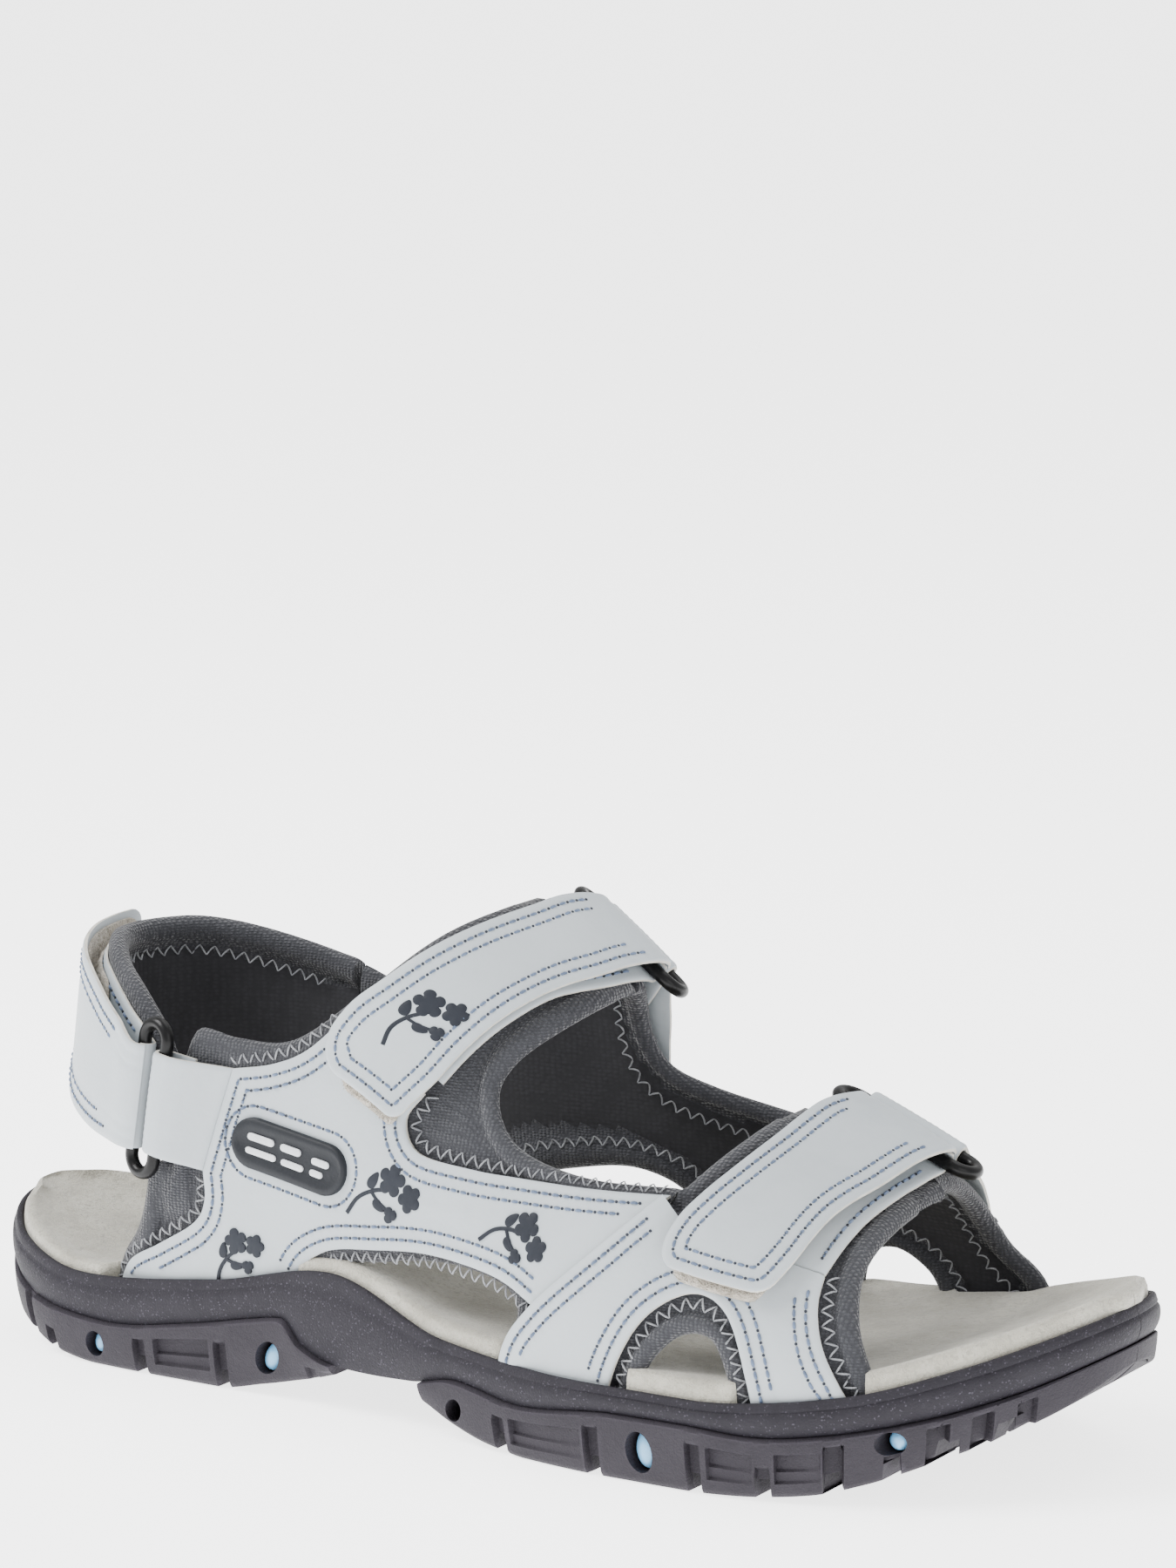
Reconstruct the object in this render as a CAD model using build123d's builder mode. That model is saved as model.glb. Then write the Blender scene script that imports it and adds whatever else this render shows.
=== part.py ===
from build123d import *
import math
import os

os.makedirs("parts", exist_ok=True)

# Right-foot sport sandal. +X toe, +Y medial (inner) side, +Z up, millimetres.
# The origin is the middle of the sole's length, on the ground.

# ---- driving dimensions ------------------------------------------------------------------------
SOLE_HALF = 129.0       # half of the sole's length
LINING = 3.0            # knit-faced foam
LEATHER = 1.2           # straps and overlays
GLUE = 0.35             # glue line between two layers
LOOP = 0.9              # loop tape on a strap
HOOK = 0.9              # hook tape under a flap
WALL = 6.5              # sole wall outside the foot
RIM_WALL = 1.2          # sole rim outside the upper
RECESS = 4.0            # depth of the recess for the footbed, below the rim
UPPER_DEPTH = 3.4       # how far the upper reaches down into the recess
BOARD = 1.2             # insole board
COVER = 1.3             # suede cover of the footbed
HEEL_ROUND = 42.0       # plan radius of the heel
RING_BAR = 1.4          # radius of the ring's wire
RING_PITCH = 7.2        # distance between the ring's two long bars
RING_DEPTH = 6.7        # height of a ring over the foot
BAR_PLAY = 0.45         # play of a strap on its bar
TAB_PLAY = 0.2          # play of a ring in its tab
GROOVE_WIDTH = 3.0      # tread grooves
GROOVE_DEPTH = 3.6
POD_DEPTH = 16.0        # depth of a cushion pod, in from the side wall
POD_RECESS = 2.0        # how far a pod's face is sunk in the wall

# Half-widths of the sole at its rim, along X
LATERAL = [(-129, 0), (-123, -18.5), (-115, -26.5), (-100, -32.5), (-80, -34), (-50, -34.5), (-20, -37.5),
           (10, -42.5), (40, -46), (60, -46), (80, -42.5), (95, -36), (108, -27), (118, -16),
           (125, -5), (129, 11)]
MEDIAL = [(-129, 0), (-123, 18.5), (-115, 26.5), (-100, 32.5), (-80, 33.5), (-50, 30.5), (-20, 28.5), (10, 33),
          (40, 41.5), (60, 45.5), (80, 46.5), (95, 45), (108, 41), (118, 35.5), (125, 28), (129, 11)]
# Heights along X: rim of the sole, top of the foot, tread, line between tread and midsole
RIM = [(-129, 28), (-110, 22), (-95, 19.5), (-60, 23), (-30, 29), (0, 20.5), (30, 18.5), (60, 18.5),
       (90, 21.5), (110, 27), (129, 34)]
DORSAL = [(-100, 190), (-60, 160), (-35, 124), (-15, 105), (0, 93), (15, 81.5), (30, 73.5),
          (60, 60.5), (85, 50), (105, 44), (129, 38)]
TREAD = [(-131, 20), (-124, 11), (-114, 4.5), (-102, 1), (-92, 0), (-60, 0), (-48, 2.4), (-36, 5.5),
         (-22, 9), (-8, 7.5), (2, 3.6), (12, 1), (22, 0), (54, 0), (70, 0.3), (85, 1.7), (95, 4.3),
         (105, 8.1), (116, 12.8), (124, 17.6), (131, 24.5)]
SPLIT = [(-131, 24), (-120, 15.5), (-108, 11.6), (-88, 9.8), (-65, 13), (-50, 16.2), (-42.5, 17.4),
         (-37.5, 12.6), (-29, 9.8), (-22, 9.6), (-8, 10.4), (4, 12.8), (20, 10.8), (43, 13.2), (60, 13.4),
         (74, 12.6), (88, 14), (104, 17.2), (118, 21.4), (131, 27.4)]
# Footbed top over the rim, ridge of the instep and back line of the heel
FOOTBED_RISE = [(-131, 1.5), (-60, 1.9), (0, 2.6), (40, 3.4), (100, 3.4), (131, 2.6)]
RIDGE = [(-60, 0), (-20, 8), (0, 12), (30, 12), (60, 10), (90, 10)]
HEEL = [(15, -113), (25, -112), (45, -107), (65, -104), (90, -103), (120, -104)]

OVERLAY_IN = LINING + GLUE
OVERLAY_OUT = OVERLAY_IN + LEATHER
LOOP_IN = OVERLAY_OUT + 0.1
LOOP_OUT = LOOP_IN + LOOP
HOOK_IN = LOOP_OUT + GLUE
HOOK_OUT = HOOK_IN + HOOK
FLAP_IN = HOOK_OUT + 0.1
FLAP_AT_BAR = RING_DEPTH + RING_BAR + BAR_PLAY


# ---- the foot surface that every upper piece follows ---------------------------------------------
def curve(place, knots):
    """Height of a smooth curve through (place, value) knots, without overshoot."""
    place = min(max(place, knots[0][0]), knots[-1][0])
    slopes = [(b[1] - a[1]) / (b[0] - a[0]) for a, b in zip(knots, knots[1:])]
    tangents = [slopes[0]]
    for before, after in zip(slopes, slopes[1:]):
        tangents.append(2 * before * after / (before + after) if before * after > 0 else 0)
    tangents.append(slopes[-1])
    index = max(i for i in range(len(slopes)) if knots[i][0] <= place)
    step = knots[index + 1][0] - knots[index][0]
    t = (place - knots[index][0]) / step
    start = (2 * t**3 - 3 * t**2 + 1) * knots[index][1] + (t**3 - 2 * t**2 + t) * step * tangents[index]
    end = (3 * t**2 - 2 * t**3) * knots[index + 1][1] + (t**3 - t**2) * step * tangents[index + 1]
    return start + end


def sole_edge(x, medial):
    """Edge of the sole in plan at x. Reading the outline by angle makes both of its ends round."""
    angle = math.asin(min(max(x / SOLE_HALF, -1), 1))
    return curve(angle, [(math.asin(place / SOLE_HALF), y) for place, y in (MEDIAL if medial else LATERAL)])


def foot_half_width(x, medial):
    return sole_edge(x, True) - WALL if medial else sole_edge(x, False) + WALL


def over_point(x, turn):
    """Point of the foot at x. turn goes over it: 0 lateral rim, 90 instep ridge, 180 medial rim."""
    rim = curve(x, RIM)
    z = rim + (curve(x, DORSAL) - rim) * math.sin(math.radians(turn))
    ridge = curve(x, RIDGE)
    spread = abs(math.cos(math.radians(turn))) if 0 < turn < 180 else 1
    back = min(max((x - curve(z, HEEL)) / HEEL_ROUND, 0), 1)
    return Vector(x, (ridge + (foot_half_width(x, turn > 90) - ridge) * spread) * math.sqrt(1 - (1 - back)**2), z)


def heel_point(along, z):
    """Point of the heel at height z. along is the way round the heel: 0 back, + medial, - lateral."""
    swing = min(abs(along) / HEEL_ROUND, math.pi / 2)
    x = curve(z, HEEL) + HEEL_ROUND * (1 - math.cos(swing)) + max(0, abs(along) - HEEL_ROUND * math.pi / 2)
    rise = min(max((z - curve(x, RIM)) / (curve(x, DORSAL) - curve(x, RIM)), 0), 1)
    ridge = curve(x, RIDGE)
    half = foot_half_width(x, along > 0) - ridge
    return Vector(x, (ridge + half * math.sqrt(1 - rise**2)) * math.sin(swing), z)


def outward(surface, a, b):
    """Unit normal of the foot surface, away from the foot."""
    across = surface(a + 0.5, b) - surface(a - 0.5, b)
    up = surface(a, b + 0.5) - surface(a, b - 0.5)
    normal = across.cross(up).normalized()
    middle = Vector(a if surface is over_point else -62, 5, 35)
    return normal if normal.dot(surface(a, b) - middle) > 0 else normal * -1


def skin(surface, a, b, depth):
    return surface(a, b) + outward(surface, a, b) * depth


# ---- closed solids between two offsets of the foot surface ---------------------------------------
def closed_layer(inner, outer):
    """Solid between two grids of points."""
    faces = [Face.make_surface_from_array_of_points(grid) for grid in (inner, outer)]
    sides = []
    for edge in faces[0].edges():
        twin = min(faces[1].edges(), key=lambda other: (other.center() - edge.center()).length)
        sides.append(Face.make_surface_from_curves(edge, twin))
    return Solid(Shell(faces + sides))


def spaced(low, high, count):
    return [low + (high - low) * i / (count - 1) for i in range(count)]


def rows_over(turns, rear, front, depth, columns=6):
    """Rows of points over the foot, from the rear edge to the front edge of a strap."""
    return [[skin(over_point, x, turn, depth) for x in spaced(curve(turn, rear), curve(turn, front), columns)]
            for turn in turns]


def rows_heel(places, low, high, depth, columns=5):
    """Rows of points round the heel, from the lower to the upper edge of a strap."""
    return [[skin(heel_point, place, z, depth)
             for z in spaced(curve(place, low), curve(place, high), columns)] for place in places]


def side_sheet(start, stop, medial, top_turn, inner, outer):
    """Uncut blank of an upper panel: from below the rim up to top_turn."""
    grids = []
    for offset in (inner, outer):
        grid = []
        for x in spaced(start, stop, max(4, int((stop - start) / 5))):
            sunk = -math.degrees(math.asin(UPPER_DEPTH / (curve(x, DORSAL) - curve(x, RIM))))
            turns = spaced(sunk, top_turn, 15)
            grid.append([skin(over_point, x, 180 - turn if medial else turn, offset) for turn in turns])
        grids.append(grid)
    return closed_layer(*grids)


def outline_sketch(plane, runs):
    """Sketch of a closed outline: a run of two points is straight, a longer one is smooth."""
    with BuildSketch(plane) as outline:
        with BuildLine():
            for run in runs:
                if len(run) == 2:
                    Line(*run)
                else:
                    Spline(*run)
        make_face()
    return outline.sketch


def upper_panel(name, medial, inner, outer, runs, span, top_turn=88):
    """Panel of the upper: a blank on the foot surface, cut to its side-view outline."""
    with BuildPart() as panel:
        add(side_sheet(*span, medial, top_turn, inner, outer))
        outline = outline_sketch(Plane.XZ.offset(25 if medial else -25), runs)
        extrude(outline, amount=-90 if medial else 90, mode=Mode.INTERSECT)
    save(name, panel)


def save(name, piece):
    piece.part.label = name
    export_step(piece.part, f"parts/{name}.step")


# ---- sole ----------------------------------------------------------------------------------------
SOLE_END = SOLE_HALF - 0.05                       # last rows of the sole, where it is almost a point
SOLE_ROWS = 32
END_ZONE = 90.0                                   # past this, an inset outline is also shorter
FIT = 0.2                                         # gap between the layers of the sole
HEEL_TREAD = (-SOLE_END, -29)                     # spans of the two tread pieces along X
FORE_TREAD = (-5, SOLE_END)
GROOVES_HEEL = (-104, -79, -58)
GROOVES_FORE = (16, 39, 62, 76, 89, 99, 108, 116)
# Cushion pods: x, z and radius of the window in the side wall
PODS = [(-91, 5.0, 2.6), (-46, 8.6, 3.4), (50, 6.9, 4.2), (99, 12.9, 2.5)]
DRAIN = (4, 6.6, 2.2)                             # open hole in the rear corner of the front tread
SHANK = (-78, 2)                                  # span of the steel shank along X
SHANK_THICK = 1.2
SHANK_WIDTH = 15


def rim(x):
    return curve(x, RIM)


def recess_floor(x):
    return rim(x) - RECESS


def footbed_top(x):
    return rim(x) + curve(x, FOOTBED_RISE)


def tread(x):
    return curve(x, TREAD)


def split(x):
    return curve(x, SPLIT)


def sole_layer(low, high, inset_low=0.0, inset_high=None, start=-SOLE_END, stop=SOLE_END, mode=Mode.ADD):
    """Layer of the sole between two height curves, lofted through upright cross-sections."""
    inset_high = inset_low if inset_high is None else inset_high
    stations = [-SOLE_END * math.cos(math.pi * i / SOLE_ROWS) for i in range(SOLE_ROWS + 1)]
    stations = [start] + [x for x in stations if start + 1 < x < stop - 1] + [stop]
    sections = []
    for x in stations:
        margins = [inset(x) if callable(inset) else inset for inset in (inset_low, inset_high)]
        right, left = sole_edge(x, False), sole_edge(x, True)
        middle = (left + right) / 2
        halves = [max((left - right) / 2 - margin, 0.4) for margin in margins]
        past = max(abs(x) - END_ZONE, 0) / (SOLE_END - END_ZONE)
        x -= math.copysign(past * margins[1], x)
        with BuildSketch(Plane.YZ.offset(x)) as section:
            with BuildLine():
                Polyline((middle - halves[0], low(x)), (middle + halves[0], low(x)),
                         (middle + halves[1], high(x)), (middle - halves[1], high(x)), close=True)
            make_face()
        sections.append(section.sketch)
    loft(sections, ruled=True, mode=mode)


def pod_sites(x):
    """Middle of each side wall at x, with the direction into the sole."""
    return [(sole_edge(x, False), 1), (sole_edge(x, True), -1)]


def tread_piece(name, span, grooves, windows, holes):
    """Rubber tread with grooves, pockets for the pods and open holes."""
    with BuildPart() as piece:
        sole_layer(tread, lambda x: split(x) - FIT, 3.0, 0.4, *span)
        for x in grooves:
            with Locations((x, 0, tread(x))):
                Box(GROOVE_WIDTH, 120, 2 * GROOVE_DEPTH, mode=Mode.SUBTRACT)
        for x, z, radius in windows + holes:
            for wall, _ in pod_sites(x):
                with Locations((x, wall, z)):
                    Cylinder(radius, 2 * POD_DEPTH, rotation=(90, 0, 0), mode=Mode.SUBTRACT)
    save(name, piece)


tread_piece("outsole_heel", HEEL_TREAD, GROOVES_HEEL, PODS[:2], [])
tread_piece("outsole_forefoot", FORE_TREAD, GROOVES_FORE, PODS[2:], [DRAIN])

with BuildPart() as cushion_pods:
    for pod_x, pod_z, pod_radius in PODS:
        for wall, inward in pod_sites(pod_x):
            pod_middle = wall + inward * (POD_DEPTH + POD_RECESS) / 2
            with Locations((pod_x, pod_middle, pod_z)):
                Cylinder(pod_radius - 0.12, POD_DEPTH - POD_RECESS - 0.4, rotation=(90, 0, 0))
save("cushion_pods", cushion_pods)


def shank_margin(x):
    """Inset that leaves only the shank's width."""
    return (sole_edge(x, True) - sole_edge(x, False) - SHANK_WIDTH) / 2


with BuildPart() as midsole:
    sole_layer(split, rim, 0.6, 0)
    sole_layer(recess_floor, lambda x: rim(x) + 3, RIM_WALL, mode=Mode.SUBTRACT)
    sole_layer(lambda x: recess_floor(x) - SHANK_THICK - 2 * FIT, lambda x: recess_floor(x) + 1,
               lambda x: shank_margin(x) - FIT, start=SHANK[0] - FIT, stop=SHANK[1] + FIT, mode=Mode.SUBTRACT)
save("midsole", midsole)


with BuildPart() as shank:
    sole_layer(lambda x: recess_floor(x) - SHANK_THICK - FIT, lambda x: recess_floor(x) - FIT, shank_margin,
               start=SHANK[0], stop=SHANK[1])
save("shank", shank)

# The footbed stays inside the upper, which is narrower than the sole at the heel
FOOTBED_INSET = [(-SOLE_HALF, 8), (-92, 11), (-85, 8.9), (-74, 7.1), (-60, WALL + 0.3), (SOLE_HALF, WALL + 0.3)]


def bed_inset(x):
    return curve(x, FOOTBED_INSET)


def bed_layer(name, low, high):
    with BuildPart() as bed:
        sole_layer(low, high, bed_inset)
    save(name, bed)


bed_layer("insole_board", lambda x: recess_floor(x) + FIT, lambda x: recess_floor(x) + BOARD)
bed_layer("footbed", lambda x: recess_floor(x) + BOARD + FIT, lambda x: footbed_top(x) - COVER - FIT)
bed_layer("footbed_cover", lambda x: footbed_top(x) - COVER, footbed_top)

# ---- upper: linings and overlays -----------------------------------------------------------------
FLOOR = 8.0                                       # the outlines run down past the blanks' lower edge

upper_panel("lateral_quarter_lining", False, 0, LINING, [
    [(-91, FLOOR), (-91, 13), (-87, 24), (-83, 30), (-81, 36), (-80, 44)],
    [(-80, 44), (-73, 45.5)],
    [(-73, 45.5), (-70.5, 68)],
    [(-70.5, 68), (-67, 74), (-57, 73), (-44, 74), (-30, 84), (-17, 96), (-8, 101)],
    [(-8, 101), (6, 108)],
    [(6, 108), (18, 92)],
    [(18, 92), (14, 83), (5, 73), (4, 66), (11, 58), (26, 54), (47, 53)],
    [(47, 53), (28, FLOOR)],
    [(28, FLOOR), (14, FLOOR)],
    [(14, FLOOR), (17, 24), (17, 30), (10, 33.5), (-3, 34.5), (-19, 32), (-30, 28), (-39, FLOOR)],
    [(-39, FLOOR), (-91, FLOOR)],
], (-92, 49))

upper_panel("lateral_quarter", False, OVERLAY_IN, OVERLAY_OUT, [
    [(-86, FLOOR), (-86, 16), (-83, 23), (-75, 28), (-66, 34), (-63.5, 39), (-64, 45)],
    [(-64, 45), (-59.5, 47)],
    [(-59.5, 47), (-56.5, 67)],
    [(-56.5, 67), (-47, 69), (-39, 72.5), (-31, 79.5)],
    [(-31, 79.5), (-11, 66)],
    [(-11, 66), (-14, 61), (-10, 55), (3, 53), (17, 52), (31, 51.3), (45, 51)],
    [(45, 51), (36, 41), (23, 29.5)],
    [(23, 29.5), (13, 34), (-3, 36), (-18, 35), (-32, 32.5), (-40, 25), (-41, FLOOR)],
    [(-41, FLOOR), (-86, FLOOR)],
], (-88, 47))

upper_panel("lateral_vamp_lining", False, 0, LINING, [
    [(28.5, FLOOR), (47.5, 53.3)],
    [(47.5, 53.3), (52, 60)],
    [(52, 60), (60, 74)],
    [(60, 74), (90, 60)],
    [(90, 60), (87, 50), (86, 42), (89, 33), (94, 22), (96, FLOOR)],
    [(96, FLOOR), (69, FLOOR)],
    [(69, FLOOR), (67, 20), (62.5, 28.5), (56, 29), (50.5, 24.5), (47, 18), (46, FLOOR)],
    [(46, FLOOR), (28.5, FLOOR)],
], (27, 97))

upper_panel("lateral_vamp", False, OVERLAY_IN, OVERLAY_OUT, [
    [(16, FLOOR), (18, 21), (24, 29.3), (36.5, 40.8), (46, 50)],
    [(46, 50), (51, 44.3)],
    [(51, 44.3), (76, 38)],
    [(76, 38), (83.5, 37)],
    [(83.5, 37), (87, 30), (91, 20), (92, FLOOR)],
    [(92, FLOOR), (74, FLOOR)],
    [(74, FLOOR), (70.5, 23), (65, 33), (57, 36), (48, 31), (42, 20), (40, FLOOR)],
    [(40, FLOOR), (16, FLOOR)],
], (15, 93))

upper_panel("medial_quarter_lining", True, 0, LINING, [
    [(-91, FLOOR), (-91, 13), (-87, 24), (-83, 30), (-80, 38), (-77, 42)],
    [(-77, 42), (-61, 43)],
    [(-61, 43), (-61, 79)],
    [(-61, 79), (-48, 76), (-36, 80), (-22, 92), (-8, 100)],
    [(-8, 100), (6, 108)],
    [(6, 108), (18, 92)],
    [(18, 92), (12, 78), (14, 67), (25, 61.5), (47, 56)],
    [(47, 56), (34, FLOOR)],
    [(34, FLOOR), (22, FLOOR)],
    [(22, FLOOR), (21, 31), (16, 39), (6, 42.5), (-6, 41.5), (-19, 38), (-31, 30), (-38, FLOOR)],
    [(-38, FLOOR), (-91, FLOOR)],
], (-92, 49), 87)

upper_panel("medial_quarter", True, OVERLAY_IN, OVERLAY_OUT, [
    [(-86, FLOOR), (-86, 16), (-83, 22), (-75, 28), (-66, 33), (-61, 41)],
    [(-61, 41), (-58, 66)],
    [(-58, 66), (-47, 69), (-33, 75), (-20, 84.5), (-10, 88)],
    [(-10, 88), (-10, 82)],
    [(-10, 82), (13.5, 67.5)],
    [(13.5, 67.5), (20, 59), (42, 53)],
    [(42, 53), (31, 37)],
    [(31, 37), (22, 42), (8, 46.5), (-8, 45.5), (-24, 40), (-35, 33), (-41, 24), (-42, FLOOR)],
    [(-42, FLOOR), (-86, FLOOR)],
], (-88, 45), 80)

upper_panel("medial_vamp_lining", True, 0, LINING, [
    [(34.5, FLOOR), (47.5, 56.3)],
    [(47.5, 56.3), (55, 62)],
    [(55, 62), (60, 72)],
    [(60, 72), (88, 60)],
    [(88, 60), (84, 46), (87, 34), (95, 26), (99, FLOOR)],
    [(99, FLOOR), (73, FLOOR)],
    [(73, FLOOR), (70, 22), (66, 27.5), (60, 30), (54.5, 26), (52, FLOOR)],
    [(52, FLOOR), (34.5, FLOOR)],
], (33, 100), 87)

upper_panel("medial_vamp", True, OVERLAY_IN, OVERLAY_OUT, [
    [(27, FLOOR), (32, 36.5), (43, 52.5)],
    [(43, 52.5), (58, 46)],
    [(58, 46), (61, 43)],
    [(61, 43), (82, 38)],
    [(82, 38), (84, 32), (92, 24), (95, FLOOR)],
    [(95, FLOOR), (77, FLOOR)],
    [(77, FLOOR), (73, 24), (66, 33), (56, 34), (49, 27), (47, FLOOR)],
    [(47, FLOOR), (27, FLOOR)],
], (26, 97), 84)

with BuildPart() as badge:
    add(closed_layer(*[[[skin(over_point, x, turn, depth) for turn in spaced(8, 30, 6)]
                        for x in spaced(-60, -20, 7)] for depth in (OVERLAY_OUT + 0.1, OVERLAY_OUT + 1.5)]))
    with BuildSketch(Plane.XZ):
        with Locations((-41, 51)):
            SlotOverall(30, 9.5, rotation=-9)
    extrude(amount=70, mode=Mode.INTERSECT)
save("badge", badge)

# ---- upper: heel collar --------------------------------------------------------------------------
COLLAR_LOW = [(-56, 47), (-40, 46), (-15, 48), (20, 48), (64, 44)]
COLLAR_HIGH = [(-56, 66), (-50, 73), (-35, 82), (-10, 88), (20, 88), (64, 80)]
COLLAR_PLACES = spaced(-54, 64.5, 15)

with BuildPart() as heel_collar:
    add(closed_layer(*[rows_heel(COLLAR_PLACES, COLLAR_LOW, COLLAR_HIGH, depth) for depth in (0, LINING)]))
save("heel_collar", heel_collar)


# ---- straps, rings and tabs ----------------------------------------------------------------------
def bar_frame(first, last, depth, towards):
    """Frame of a ring's strap bar: middle, direction along it, out from the foot, back along the flap."""
    surface, a_first, b_first = first
    _, a_last, b_last = last
    ends = [skin(surface, a_first, b_first, depth), skin(surface, a_last, b_last, depth)]
    along = (ends[1] - ends[0]).normalized()
    middle = (ends[0] + ends[1]) * 0.5
    normal = outward(surface, (a_first + a_last) / 2, (b_first + b_last) / 2)
    normal = (normal - along * normal.dot(along)).normalized()
    back = along.cross(normal)
    if back.dot(towards) < 0:
        back = back * -1
    return middle, along, normal, back


def wrap_rows(frame, width, radius, angles, columns):
    """Rows of points round a strap bar. Angle 90 is on the outside, 0 faces the tab."""
    middle, along, normal, back = frame
    rows = []
    for angle in angles:
        turned = normal * math.sin(math.radians(angle)) - back * math.cos(math.radians(angle))
        rows.append([middle + along * s + turned * radius for s in spaced(-width / 2, width / 2, columns)])
    return rows


def flap_solid(rows_at, places, frame, width, columns):
    """Flap from its free end, over the hook tape, up and part of the way round its bar."""
    grids = []
    last = len(places) - 1
    for face in (0, LEATHER):
        grid = []
        for i, place in enumerate(places):
            rise = max(0, i - last + 2) / 2.4
            depth = FLAP_IN + (FLAP_AT_BAR - FLAP_IN) * rise + face
            grid += rows_at([place], depth, columns)
        grid += wrap_rows(frame, width, RING_BAR + BAR_PLAY + face, (88, 62, 38, 15), columns)
        grids.append(grid)
    return closed_layer(*grids)


def ring_solid(frame, width):
    """Oval ring round two long bars; the strap bar is at the frame, the tab bar one pitch further."""
    middle, along, normal, back = frame
    centre = middle - back * (RING_PITCH / 2)
    flat = Plane(origin=centre, x_dir=along, z_dir=normal)
    with BuildPart() as ring:
        with BuildLine(flat) as path:
            half = RING_PITCH / 2
            reach = width / 2 + 1.2
            bar = Line((-reach, half), (reach, half))
            ThreePointArc((reach, half), (reach + half, 0), (reach, -half))
            Line((reach, -half), (-reach, -half))
            ThreePointArc((-reach, -half), (-reach - half, 0), (-reach, half))
        with BuildSketch(Plane(origin=bar @ 0, z_dir=bar % 0)):
            Circle(RING_BAR)
        sweep()
    return ring


def tab_solid(frame, width, tail):
    """Folded tab that holds the ring: a loop round the tab bar, drawn down to a sewn tail."""
    middle, along, normal, back = frame
    centre = middle - back * RING_PITCH
    section_plane = Plane(origin=centre - along * (width / 2), x_dir=back * -1, z_dir=along)
    down = -1 if section_plane.y_dir.dot(normal) > 0 else 1
    hole = RING_BAR + TAB_PLAY
    outer = hole + LEATHER
    with BuildPart() as tab:
        with BuildSketch(section_plane):
            with BuildLine():
                Line((0, outer), (tail, down * 0.6 + 1.2))
                Line((tail, down * 0.6 + 1.2), (tail, down * 0.6 - 1.2))
                Line((tail, down * 0.6 - 1.2), (0, -outer))
                ThreePointArc((0, -outer), (-outer, 0), (0, outer))
            make_face()
            Circle(hole, mode=Mode.SUBTRACT)
        extrude(amount=width)
    return tab


def strap_set(name, first, last, towards, rows_at, base_places, loop_places, hook_places, flap_places,
              width, tail, columns=6):
    """Base strap, ring, tab, flap and its hook and loop tapes."""
    frame = bar_frame(first, last, RING_DEPTH, towards)
    pieces = {
        "strap_base": closed_layer(*[rows_at(base_places, depth, columns)
                                     for depth in (OVERLAY_IN, OVERLAY_OUT)]),
        "loop_patch": closed_layer(*[rows_at(loop_places, depth, columns, 1.5)
                                     for depth in (LOOP_IN, LOOP_OUT)]),
        "hook_patch": closed_layer(*[rows_at(hook_places, depth, columns, 1.5)
                                     for depth in (HOOK_IN, HOOK_OUT)]),
        "flap": flap_solid(rows_at, flap_places, frame, width, columns),
    }
    for part_name, solid in pieces.items():
        with BuildPart() as piece:
            add(solid)
        save(f"{name}_{part_name}", piece)
    save(f"{name}_ring", ring_solid(frame, width))
    save(f"{name}_ring_tab", tab_solid(frame, width - 1, tail))
    print(name, "hinge at", frame[0], "along", frame[1], "outward", frame[2], "back", frame[3])


def strap_rows_over(rear, front):
    """Row maker for a strap over the foot, with a margin in from both edges."""
    def rows_at(turns, depth, columns, margin=0):
        rear_in = [(turn, x + margin) for turn, x in rear]
        front_in = [(turn, x - margin) for turn, x in front]
        return rows_over(turns, rear_in, front_in, depth, columns)
    return rows_at


def strap_rows_heel(low, high):
    """Row maker for a strap round the heel, with a margin in from both edges."""
    def rows_at(places, depth, columns, margin=0):
        low_in = [(place, z + margin) for place, z in low]
        high_in = [(place, z - margin) for place, z in high]
        return rows_heel(places, low_in, high_in, depth, columns)
    return rows_at


INSTEP_REAR = [(26, -29), (29, -32.5), (35, -30), (44, -23.5), (55, -17), (68, -10.5), (78, -6.4), (95, -2.5)]
INSTEP_FRONT = [(26, -17), (30, -13), (35, -8.5), (44, -4), (56, 1.6), (66, 5.5), (78, 10.4), (95, 14.5)]
strap_set("instep", (over_point, -2.5, 95), (over_point, 14.5, 95), Vector(0, -1, 0),
          strap_rows_over(INSTEP_REAR, INSTEP_FRONT), spaced(36.5, 94, 9), spaced(40, 74, 6),
          spaced(34, 60, 5), [26.5, 30, 36, 44, 52, 60, 68, 76, 84], 20.5, 10)

FORE_REAR = [(26, 53), (30, 50), (36, 50.5), (46, 53.5), (58, 57), (71, 58.8), (82, 59.8), (95, 61.5)]
FORE_FRONT = [(26, 68), (31, 72), (36, 74), (42, 75.4), (54, 77), (65, 79.5), (77, 81.6), (95, 84)]
strap_set("forefoot", (over_point, 61.5, 94), (over_point, 84, 94), Vector(0, -1, 0),
          strap_rows_over(FORE_REAR, FORE_FRONT), spaced(38, 93, 9), spaced(43, 72, 6),
          spaced(37, 62, 5), [27, 32, 38, 45, 53, 61, 68, 75, 82], 23.5, 10)

HEEL_LOW = [(-52, 47.5), (-36, 49), (-15, 53), (15, 59), (45, 60), (66, 60)]
HEEL_HIGH = [(-52, 70), (-42, 75), (-25, 82), (0, 85), (30, 84), (66, 78)]
strap_set("heel", (heel_point, -50, 47.5), (heel_point, -50, 70.5), Vector(-1, 0, 0),
          strap_rows_heel(HEEL_LOW, HEEL_HIGH), spaced(-49.5, 62, 15), spaced(-34, 24, 8),
          spaced(-20, 8, 5), [12, 4, -4, -12, -20, -27, -34, -40, -45], 22.5, 10)
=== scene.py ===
import math
import random

import bmesh
import bpy
import numpy as np
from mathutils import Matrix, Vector
from mathutils.geometry import delaunay_2d_cdt


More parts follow.
